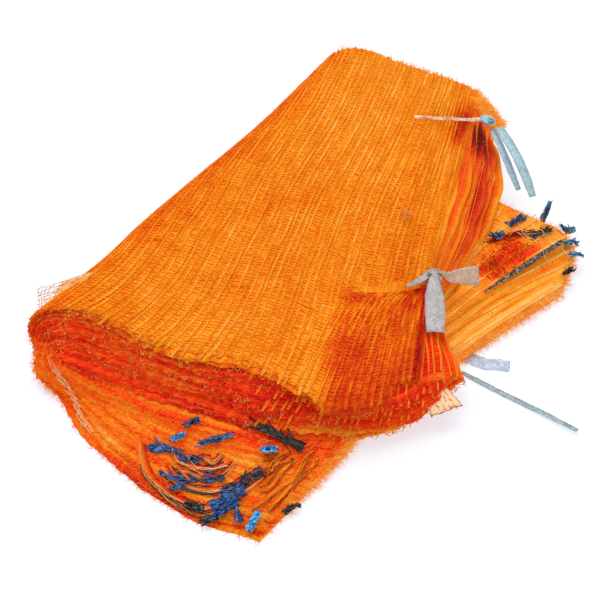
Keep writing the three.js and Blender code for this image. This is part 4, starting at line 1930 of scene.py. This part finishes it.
FREE_TAILS = (
    FreeTail(
        "back_tail_near",
        ((153.6, 390, 63), (158, 381, 58), (163, 370, 51), (168, 359, 43), (173, 348, 35)),
        6 * MM, Shade.ICE, Lay.HANGING,
    ),
    FreeTail(
        "back_tail_far",
        ((158.5, 389, 66), (165, 376, 62), (172, 363, 55), (178, 350, 46), (183, 337, 37)),
        8 * MM, Shade.ICE, Lay.HANGING,
    ),
    FreeTail(
        "front_tail_long",
        ((118, 176, 1.6), (137, 161, 1.4), (157, 146, 1.6), (176, 131, 2.6), (195, 115, 4)),
        4.4 * MM, Shade.MIST, Lay.LOOSE,
    ),
)


@dataclass(frozen=True)
class Ties:
    """The three tapes that tie the pack: straps, knots, and free and laid tails."""

    knot_turns: int = 5
    knot_grow: float = 1.3

    def build_free_tails(self) -> None:
        """Make the tails that hang or lie free."""
        for tail in FREE_TAILS:
            tail.build()

    def build_knot(self, name: str, shade: Shade, seed: int) -> None:
        """Make a knot: turns of crumpled tape round each other.

        Args:
            name: The piece's name.
            shade: Its colours.
            seed: Seed of its turns.
        """
        random = np.random.default_rng(seed)
        low, high = (np.array(corner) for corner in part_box(f"tie_{name}"))
        middle = (low + high) / 2
        half = (high - low) / 2 * self.knot_grow
        turn = np.linspace(0, 2.3 * np.pi, 24)
        tapes = []
        for k in range(self.knot_turns):
            first = unit(random.normal(size=3))
            second = unit(np.cross(first, random.normal(size=3)))
            size = half * random.uniform(0.55, 0.95)
            loop = middle + (first * np.cos(turn)[:, None] + second * np.sin(turn)[:, None]) * size
            wide = random.uniform(0.7, 1.1) * float(half[2])
            twists = tuple(random.uniform(-60, 60, 5))
            tapes.append(Tape(loop, wide, seed + k, steps=30, twists=twists, crinkle=0.2 * MM))
        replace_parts(tape_piece(tapes, name, TapeFinish(name, shade)), f"tie_{name}")

    def laid(
        self,
        name: str,
        wide: float,
        shade: Shade,
        start: Point,
        keep: float = 1.0,
        stretch: float = 1.0,
        **shape: object,
    ) -> None:
        """Make a strap or tail that lies on the pack or on the floor.

        Args:
            name: The piece's name.
            wide: The tape's width.
            shade: Its colours.
            start: Where it comes from, in the plan.
            keep: Share of its length that shows.
            stretch: Factor on its length from the start.
            shape: More of the tape's fields.
        """
        node = f"tie_{name}"
        line = tape_line(node)
        knot = to_frame(np.array(start, float))
        ends = np.linalg.norm(line[[0, -1]] - knot, axis=1)
        line = line if ends[0] < ends[1] else line[::-1]
        line = np.concatenate([[knot], line[1 : max(3, round(keep * len(line)))]])
        tape = Tape(knot + (line - knot) * stretch, wide, len(name), **shape)
        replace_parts(tape_piece([tape], name, TapeFinish(name, shade)), node)

    def build_laid(self) -> None:
        """Make the straps, the knots and the laid tails."""
        self.laid(
            "back_strap", 2.8 * MM, Shade.CREAM, (149, 394, 70),
            twists=(20, 60, 10, 80, 30, 90, 20), steps=40, lift=1.2 * MM, crinkle=0.12 * MM,
        )
        self.laid(
            "middle_strap", 6 * MM, Shade.PEARL, (96, 226, 52),
            keep=0.6, twists=(60, 20, 50, 10), lift=1.5 * MM, widths=(0.7, 0.75, 0.35),
        )
        self.build_knot("back_knot", Shade.ICE, 5)
        self.build_knot("middle_knot", Shade.PEARL, 9)
        self.laid(
            "middle_tail_down", 14 * MM, Shade.PEARL, (98, 224, 53), stretch=1.08,
            widths=(0.4, 0.75, 1, 1, 1.05, 1, 0.9), lift=2 * MM, hollow=-1 * MM, columns=9, steps=30,
        )
        self.laid(
            "middle_tail_side", 13 * MM, Shade.TAUPE, (101, 226, 52),
            widths=(0.25, 0.4, 0.75, 1.0, 1.15), lift=4.5 * MM, twists=(-20, -40, -48), columns=9,
        )
        self.laid(
            "front_tail_short", 11.5 * MM, Shade.FROST, (108, 199, 3),
            columns=9, crinkle=0.4 * MM, widths=(0.8, 1, 1),
        )


@dataclass(frozen=True)
class Studio:
    """Pale floor, soft light and the camera at the photograph's viewing angle."""

    aim: Point = (0, 173, 75)
    elevation: float = 42.0
    distance: float = 1.2
    view_wide: float = 0.42
    sensor: float = 36.0
    floor_half: float = 6.0
    floor_colour: Point = (0.39, 0.39, 0.40)
    floor_rough: float = 0.9
    floor_glow: Point = (0.94, 1.0, 1.08)
    floor_glow_strength: float = 0.61
    world: float = 0.66
    key_energy: float = 24.0
    key_size: float = 1.6
    key_place: Point = (-0.25, 0.2, 1.8)

    def build_camera(self) -> None:
        """Make the camera."""
        data = bpy.data.cameras.new("camera")
        data.sensor_width = self.sensor
        data.lens = self.sensor * self.distance / self.view_wide
        camera = bpy.data.objects.new("camera", data)
        tilt = math.radians(self.elevation)
        aim = Vector(to_frame(np.array(self.aim, float)))
        camera.location = aim + self.distance * Vector((0, -math.cos(tilt), math.sin(tilt)))
        camera.rotation_euler = (math.pi / 2 - tilt, 0, 0)
        bpy.context.scene.collection.objects.link(camera)
        bpy.context.scene.camera = camera

    def build_floor(self) -> None:
        """Make the floor."""
        bm = bmesh.new()
        bmesh.ops.create_grid(bm, x_segments=4, y_segments=4, size=self.floor_half)
        mesh = bpy.data.meshes.new("floor")
        bm.to_mesh(mesh)
        bm.free()
        nodes = Nodes("floor")
        inputs = nodes.shader.inputs
        inputs["Base Color"].default_value = (*self.floor_colour, 1)
        inputs["Roughness"].default_value = self.floor_rough
        inputs["Emission Color"].default_value = (*self.floor_glow, 1)
        inputs["Emission Strength"].default_value = self.floor_glow_strength
        mesh.materials.append(nodes.material)
        floor = bpy.data.objects.new("floor", mesh)
        bpy.context.scene.collection.objects.link(floor)

    def build_light(self) -> None:
        """Make the soft light."""
        world = bpy.data.worlds.new("soft_light")
        bpy.context.scene.world = world
        world.use_nodes = True
        backdrop = world.node_tree.nodes["Background"]
        backdrop.inputs["Color"].default_value = (1.0, 1.0, 1.0, 1)
        backdrop.inputs["Strength"].default_value = self.world
        lamp = bpy.data.lights.new("key", "AREA")
        lamp.energy = self.key_energy
        lamp.size = self.key_size
        key = bpy.data.objects.new("key", lamp)
        key.location = self.key_place
        key.rotation_euler = (-Vector(self.key_place)).to_track_quat("-Z", "Y").to_euler()
        bpy.context.scene.collection.objects.link(key)
        bpy.context.scene.view_settings.view_transform = "Standard"

    def build(self) -> None:
        """Make camera, floor and light."""
        self.build_camera()
        self.build_floor()
        self.build_light()


class Slope:
    """The slope of the lower half's front ends. Places on it are given as leaf number and share."""

    def __init__(self, leaves: list[Leaf]) -> None:
        """Lay out the slope's places and outward directions.

        Args:
            leaves: All leaves from the outside in.
        """
        self.shares = np.linspace(0.4, 1, 240)
        rough = np.array([leaf.at(self.shares, leaf.first_row(self.shares)) for leaf in leaves])
        self.table = self.smoothed(rough)
        across, down = np.gradient(self.table, axis=(0, 1))
        out = unit(np.cross(across, down))
        self.outs = np.where(out[..., 2:3] < 0, -out, out)

    @staticmethod
    def smoothed(table: Array, reach: int = 5) -> Array:
        """Mean of each leaf's places and those of its neighbours."""
        padded = np.concatenate([table[:1]] * reach + [table] + [table[-1:]] * reach)
        return np.mean([padded[k : k + len(table)] for k in range(2 * reach + 1)], axis=0)

    def at(self, number: Array, share: Array, lift: Array) -> Array:
        """Places over the slope."""
        i = np.clip(number, 0, len(self.table) - 1.001)
        j = np.clip((share - self.shares[0]) / np.ptp(self.shares), 0, 0.999) * (len(self.shares) - 1)
        return bilinear(self.table, i, j) + bilinear(self.outs, i, j) * np.asarray(lift)[..., None]


@dataclass
class HemPlies:
    """Nested hems of bags that show as arcs on the slope."""

    slope: Slope
    random: Random
    name: str = "hem"
    middle: Pair = (32, 0.868)
    outer_arc: tuple[Pair, ...] = (
        (18, 0.78), (9, 0.815), (3, 0.855), (2, 0.905), (9, 0.94), (31, 0.955),
    )
    plies: int = 8
    smallest: float = 0.25
    lift: float = 1.7 * MM
    wide: float = 0.1
    base: float = 1.2 * MM
    steps: int = 48
    # Each hem is painted darker on its low inner side: painted shade in the gaps between hems.
    tone: Pair = (-0.15, 0.5)
    thread_tone: Pair = (-0.1, 0.95)
    threads: int = 5
    thread_thick: float = 0.27 * MM
    thread_aside: float = 1.0 * MM
    share_weight: float = 300.0
    string_wide: Pair = (1.2 * MM, 2.8 * MM)
    string_part: Pair = (0.4, 0.75)
    string_ahead: float = 0.035
    string_lift: float = 1.0 * MM
    strings: int = 0

    def arc(self, scale: Array, along: Array) -> tuple[Array, Array]:
        """Leaf numbers and shares of an arc at a scale of the outermost one."""
        stations = np.array([(number, share * self.share_weight, 0) for number, share in self.outer_arc])
        curve = resample(stations, 80)
        number = along_way(tuple(curve[:, 0]), along)
        share = along_way(tuple(curve[:, 1]), along) / self.share_weight
        return lerp(self.middle[0], number, scale), lerp(self.middle[1], share, scale)

    def build(self, sheet: Material, strand: Material) -> None:
        """Make the hems, the pale threads along their edges and their strings, a piece each.

        Args:
            sheet: Material of the hems.
            strand: Material of the threads.
        """
        grids: list[ClothGrid] = []
        tapes: list[Tape] = []
        threads = Strands()
        for k, scale in enumerate(np.linspace(1, self.smallest, self.plies)):
            low, high = self.random.uniform([0, 0.65], [0.35, 1.0])
            paler = self.random.uniform(-0.15, 0.15)
            along = np.linspace(low, high, self.steps)[:, None]
            across = np.linspace(0, 1, 5)[None, :]
            wobble = 0.03 * np.sin(2 * np.pi * (2 * along + self.random.uniform()))
            jitter = 0.05 * self.random.normal()
            number, share = self.arc(scale + jitter - self.wide * (1 - across) + wobble, along)
            rise = (0.35 * k / self.plies + across**1.5) * (0.7 + 0.3 * np.sin(9 * along + k))
            places = self.slope.at(number, share, self.base + self.lift * rise)
            net_map = np.stack(np.broadcast_arrays(across * 2, along * 60), axis=-1)
            # Tones run from painted shade on the low inner side to the raised edge.
            grids.append(ClothGrid(places, lerp(*self.tone, across) + paler + 0 * along, net_map))
            for _ in range(self.strings):
                number, share = self.arc(scale + jitter + self.string_ahead + wobble, along)
                line = self.slope.at(number, share, np.full(number.shape, self.base + self.string_lift))
                tapes.append(self.string(line[:, 0], k))
            for _ in range(self.threads):
                path = places[:, -1] + drift(self.random, self.steps, self.thread_aside)
                threads.add(path[None], self.thread_thick, self.random.uniform(*self.thread_tone))
        cloth_piece(grids, f"{self.name}_plies", sheet, CLOTH_THICK, 0.0)
        threads.piece(f"{self.name}_threads", strand)
        if tapes:
            # Black strings: partly drawstrings in the hems, partly painted shade in the gaps; the light
            # factor paints highlights on them.
            finish = TapeFinish("hem_string", Shade.BLACK, 0.4, speckle=480, crinkle=230, light=3.0)
            tape_piece(tapes, f"{self.name}_strings", finish)

    def string(self, line: Array, seed: int) -> Tape:
        """A dark drawstring that shows along the inner side of a hem; its black also stands in for the
        shadow under the raised hem edge, painted shade.

        Args:
            line: Places along the hem.
            seed: Seed of its crinkles.

        Returns:
            The drawstring.
        """
        part = self.random.uniform(*self.string_part)
        first = int(self.random.uniform(0, 1 - part) * len(line))
        last = first + max(4, round(part * len(line)))
        return Tape(
            line[first:last:3],
            self.random.uniform(*self.string_wide),
            seed,
            columns=3,
            widths=(0.2, 0.9, 1.0, 0.7, 0.2),
            twists=tuple(self.random.uniform(-35, 35, 4)),
        )


@dataclass
class PaleThreads:
    """Pale loose threads: chains down the slope's left side, and crossing threads in the open mouth."""

    slope: Slope
    random: Random
    chain: tuple[Pair, ...] = ((27, 0.60), (20, 0.633), (12, 0.66), (5, 0.686), (1, 0.716))
    chains: int = 5
    crossing: tuple[tuple[Point, Point], ...] = (
        ((163, 322, 32), (182, 292, 27)), ((158, 318, 33), (172, 296, 28)), ((176, 318, 31), (198, 290, 22)),
        ((186, 306, 29), (205, 300, 22)), ((150, 306, 33), (176, 304, 30)), ((196, 312, 26), (206, 284, 19)),
        ((168, 300, 30), (204, 312, 24)), ((160, 296, 30), (178, 316, 31)), ((182, 300, 28), (190, 276, 20)),
    )
    snag: Point = (79, 282, 66)
    snag_loops: int = 6
    snag_tone: Pair = (0.15, 0.5)
    thick: float = 0.19 * MM
    tone: Pair = (0.6, 1.0)
    steps: int = 60

    def add_chains(self, strands: Strands) -> None:
        """Add the chains of zigzag threads.

        Args:
            strands: The bundle that grows.
        """
        along = np.linspace(0, 1, self.steps)
        number = along_way(tuple(p[0] for p in self.chain), along)
        share = along_way(tuple(p[1] for p in self.chain), along)
        for k in range(self.chains):
            zigzag = 0.006 * np.sin(2 * np.pi * (9 * along + 0.5 * k)) + 0.012 * (k % 2)
            path = self.slope.at(number + 0.5 * k, share + zigzag, np.full(self.steps, 4 * MM))
            path = path + drift(self.random, self.steps, 0.5 * MM)
            strands.add(path[None], 1.4 * self.thick, self.random.uniform(*self.tone) - 0.12)

    def add_to(self, strands: Strands) -> None:
        """Add the chains, the crossing threads and the snagged loops.

        Args:
            strands: The bundle that grows.
        """
        self.add_chains(strands)
        for ends in self.crossing:
            start, end = to_frame(np.array(ends, float))
            bend = (start + end) / 2 + self.random.normal(size=3) * np.array([4, 4, 1]) * MM
            path = resample(np.array([start, bend, end]), 20)
            path = path + drift(self.random, 20, 1.4 * MM) * np.array([1, 1, 0.3])
            strands.add(path[None], self.thick, self.random.uniform(*self.tone))
        for _ in range(self.snag_loops):
            tangle = drift(self.random, 40, 2.4 * MM) * np.array([1, 1.8, 0.15])
            aside = self.random.normal(size=3) * np.array([2, 4, 0]) * MM
            path = to_frame(np.array(self.snag, float)) + aside + tangle
            strands.add(path[None], self.thick, self.random.uniform(*self.snag_tone))


@dataclass
class PocketFolds:
    """Crumpled strands in the open mouth at the back of the lower half, painted deep red as shade, and dark
    strands that are painted shadow in the gap under its upper lip.
    """

    leaf: Leaf
    random: Random
    count: int = 460
    long: Pair = (5, 14)
    tone: Pair = (-0.05, 0.5)
    thick: Pair = (0.16 * MM, 0.42 * MM)
    share: Pair = (0.8, 0.94)
    row: Pair = (0.72, 0.97)
    gap: tuple[Pair, Pair] = ((141, 291), (180, 307))
    gap_strands: int = 40
    gap_aside: float = 1.5
    gap_high: float = 1.0
    gap_thick: float = 0.4 * MM
    # Dark tones of the strands that are painted shadow in the gap.
    gap_shadow_tone: Pair = (-0.3, -0.05)

    def add_gap(self, strands: Strands) -> None:
        """Add the dark strands in the gap under the mouth's upper lip: painted shadow, made of strands.

        Args:
            strands: The bundle that grows.
        """
        size = (self.gap_strands, 1)
        part = self.random.uniform(0, 0.65, size) + np.linspace(0, 0.35, 8)
        plan = between(*self.gap, part) + self.random.normal(size=(*size, 2)) * self.gap_aside
        high = self.leaf.plan.meeting_height(plan) + self.gap_high + self.random.uniform(-0.5, 0.8, size)
        paths = to_frame(np.concatenate([plan, high[..., None]], axis=-1))
        strands.add(paths, self.gap_thick, self.random.uniform(*self.gap_shadow_tone, size))

    def add_to(self, strands: Strands) -> None:
        """Add the strands that lie within the mouth.

        Args:
            strands: The bundle that grows.
        """
        self.add_gap(strands)
        share = self.random.uniform(*self.share, self.count)
        row = self.random.uniform(*self.row, self.count)
        start = self.leaf.at(share, row)
        inside = self.leaf.plan.in_pocket((start - PLAN_ORIGIN)[:, :2] / MM) > 0.3
        start = start[inside][:, None]
        count = len(start)
        run = np.linspace(0, 1, 6)[None, :, None]
        way = unit(self.random.normal(size=(count, 1, 3)) * np.array([1, 1, 0.1]))
        side = np.cross(way, np.array([0, 0, 1.0]))
        long = self.random.uniform(*self.long, (count, 1, 1)) * MM
        curl = self.random.normal(size=(count, 1, 1)) * 1.1
        paths = start + way * long * (run - 0.5) + side * long * curl * (run - 0.5) ** 2
        paths[..., 2] += self.random.uniform(0.5, 3, (count, 1)) * MM * hump(run[..., 0]) + 0.5 * MM
        thick = self.random.uniform(*self.thick, (count, 1))
        strands.add(paths, thick, self.random.uniform(*self.tone, (count, 1)))


@dataclass(frozen=True)
class LooseCorner:
    """A loose, see-through corner of one net, stretched between four places of the plan."""

    corners: tuple[Point, Point, Point, Point]
    ribs: int
    wefts: int
    tone: float
    thick: float = 0.25 * MM
    film_long: float = 1.0
    film_tone: Pair = (0.78, 0.78)

    def places(self, u: Array, v: Array) -> Array:
        """Places on the corner: u runs along its ribs and v across them."""
        a, b, c, d = to_frame(np.array(self.corners, float))
        u, v = u[..., None], v[..., None]
        return lerp(lerp(a, b, u), lerp(d, c, u), v)

    def add_to(self, strands: Strands, random: Random) -> None:
        """Add its strands.

        Args:
            strands: The bundle that grows.
            random: Seeded random numbers.
        """
        for count, flip in ((self.ribs, False), (self.wefts, True)):
            line = np.linspace(0, 1, count)[:, None] + random.normal(size=(count, 12)) * 0.02
            run = np.linspace(-0.04, 1.04, 12)[None, :] + 0 * line
            paths = self.places(line, run) if flip else self.places(run, line)
            paths = paths + random.normal(size=paths.shape) * 0.25 * MM
            strands.add(paths, self.thick, self.tone + 0.15 * random.uniform(-1, 1, (count, 1)))

    def film(self, random: Random) -> ClothGrid:
        """The thin, pale weft between the ribs, with a toothed end.

        Args:
            random: Seeded random numbers.

        Returns:
            The cloth.
        """
        u, v = np.meshgrid(np.linspace(0, 1, 6), np.linspace(0, 1, 2 * self.ribs - 1), indexing="ij")
        tooth = np.where(np.arange(2 * self.ribs - 1) % 2 == 0, 0.08, -0.1)
        tones = lerp(*self.film_tone, u)
        u = u * (1 + tooth) * self.film_long
        places = self.places(u, v) + random.normal(size=(*u.shape, 3)) * 0.12 * MM
        return ClothGrid(places, tones, np.stack([v * self.ribs, u * 8], axis=-1))


LEFT_CORNER = LooseCorner(
    ((-146, 205, 74), (-187, 199, 62), (-188, 195, 48), (-165, 192, 60)),
    ribs=7, wefts=18, tone=0.35, thick=0.24 * MM, film_long=0.6, film_tone=(0.4, 0.75),
)
RIGHT_CORNER = LooseCorner(
    ((103, 134, 28), (113, 124, 20), (92, 116, 17), (86, 123, 24)),
    ribs=7, wefts=2, tone=0.05, thick=0.42 * MM,
)


@dataclass(frozen=True)
class NetMaterials:
    """Materials of the nets."""

    leaf: Material
    deep: Material
    strand: Material
    end: Material
    pale: Material
    fuzz: Material

    @classmethod
    def make(cls) -> "NetMaterials":
        """Make the materials."""
        # Every net glows faintly in its own colour, painted light for light through the plastic, and the
        # fuzz glows most; the deep and end nets and the fuzz take the brighter deep reds, painted light that
        # lifts shaded cut ends.
        return cls(
            leaf=NetFinish("leaf_net", ribbed=True).material(),
            deep=NetFinish("deep_net", ribbed=True, stops=DEEP_STOPS).material(),
            strand=NetFinish("strand_net", glow=0.14).material(),
            end=NetFinish("end_net", glow=0.14, stops=DEEP_STOPS).material(),
            pale=NetFinish("pale_net", glow=0.1, stops=PALE_STOPS).material(),
            fuzz=NetFinish("fuzz_net", glow=0.3, stops=DEEP_STOPS).material(),
        )


def strand_piece(name: str, material: Material, *sources: Callable[[Strands], None]) -> None:
    """Make one piece of strands.

    Args:
        name: The piece's name.
        material: Its material.
        sources: Methods that add strands, in order.
    """
    strands = Strands()
    for add in sources:
        add(strands)
    strands.piece(name, material)


@dataclass
class NetStack:
    """The stack of net bags: leaves, strands in full, hems and loose ends."""

    layers: list[list[Leaf]]
    knit: Knit
    random: Random
    nets: NetMaterials

    @property
    def leaves(self) -> list[Leaf]:
        """All leaves from the outside in."""
        return [leaf for layer in self.layers for leaf in layer]

    def build_layers(self) -> None:
        """Make the layers' leaves, the lip at the middle tie and the rolled edges."""
        for number, leaves in enumerate(self.layers, 1):
            layer = LeafLayer(number, len(self.layers), leaves, self.knit, self.random)
            layer.build(self.nets.leaf if number == 1 else self.nets.deep)
        TuckLip(self.layers[0][0], self.knit).build(self.nets.leaf)
        Pleats(self.layers, self.knit, self.random).build(self.nets.leaf, self.nets.strand)

    def net(self, leaf: Leaf, lift: float, brighter: float, **shape: object) -> StrandNet:
        """Part of one leaf's net in real strands."""
        return StrandNet(leaf, self.knit, self.random, lift, brighter, **shape)

    def build_nets(self) -> None:
        """Make the strand nets of the outermost bag, of the layers' front ends and of the lower half."""
        nets = self.nets
        outer = self.net(self.layers[0][0], 0.9 * MM, 0.12, gathered=True, weft_darker=0.06)
        strand_piece("outer_ribs", nets.strand, outer.add_ribs)
        strand_piece("outer_wefts", nets.strand, outer.add_wefts)
        shape = {"shares": (0.0, 0.26), "rows": (0.0, 0.2), "rib_steps": 28, "weft_darker": 0.3}
        ends = [self.net(layer[0], 0.9 * MM, 0.4, palest=0.48, **shape) for layer in self.layers[1:]]
        adders = [add for net in ends for add in (net.add_ribs, net.add_wefts)]
        strand_piece("layer_end_nets", nets.end, *adders)
        corners = (LEFT_CORNER, RIGHT_CORNER)
        adders = [partial(corner.add_to, random=self.random) for corner in corners]
        strand_piece("corner_ribs", nets.pale, *adders)
        films = [corner.film(self.random) for corner in corners]
        cloth_piece(films, "corner_film", nets.pale, FILM_THICK, 0.0)
        strand_piece("rib_ends", nets.end, RibEnds(self.leaves, self.knit, self.random).add_to)
        strand_piece("end_loops", nets.pale, EndLoops(self.leaves[1::2], self.knit, self.random).add_to)
        shape = {"shares": (0.68, 1.0), "rows": (0.25, 1.0), "rib_steps": 170}
        lower = self.net(self.layers[-1][-1], -1.0 * MM, 0.16, **shape)
        strand_piece("lower_top_net", nets.strand, lower.add_ribs, lower.add_wefts)

    def build_slope(self) -> None:
        """Make the hems, threads and folds that show at the lower half's ends."""
        nets = self.nets
        slope = Slope(self.leaves)
        HemPlies(slope, self.random, strings=2).build(nets.leaf, nets.pale)
        side = HemPlies(
            slope,
            self.random,
            "side_hem",
            middle=(44, 0.91),
            outer_arc=((0, 0.965), (8, 0.985), (20, 0.99), (34, 0.99), (46, 0.985)),
            plies=7,
            smallest=0.3,
            lift=1.8 * MM,
            # Here too the low inner sides are painted darker as shade.
            tone=(0.25, 0.58),
            thread_tone=(-0.3, 0.1),
        )
        side.build(nets.leaf, nets.pale)
        strand_piece("loose_threads", nets.pale, PaleThreads(slope, self.random).add_to)
        strand_piece("pocket_folds", nets.strand, PocketFolds(self.leaves[-1], self.random).add_to)

    def build_fibres(self) -> None:
        """Make the loose fibres at every cut end of the stack."""
        for name, glows, groups in FIBRES:
            adders = (partial(group.add_to, leaves=self.leaves, random=self.random) for group in groups)
            # Glowing fibres take the fuzz net, whose strong glow is painted light.
            strand_piece(name, self.nets.fuzz if glows else self.nets.end, *adders)

    def build(self) -> None:
        """Make everything in order."""
        self.build_layers()
        self.build_nets()
        self.build_slope()
        self.build_fibres()


def main() -> None:
    """Build the camera, the free tails, the stack, its drawstrings and ties."""
    logging.basicConfig(level=logging.INFO, format="%(message)s")
    random = np.random.default_rng(SEED)
    Studio().build()
    ties = Ties()
    ties.build_free_tails()
    sizes = StackSizes()
    layers = sizes.make(StackPlan(), random)
    NetStack(layers, Knit(), random, NetMaterials.make()).build()
    Drawstrings(random).build()
    ties.build_laid()


if __name__ == "__main__":
    main()
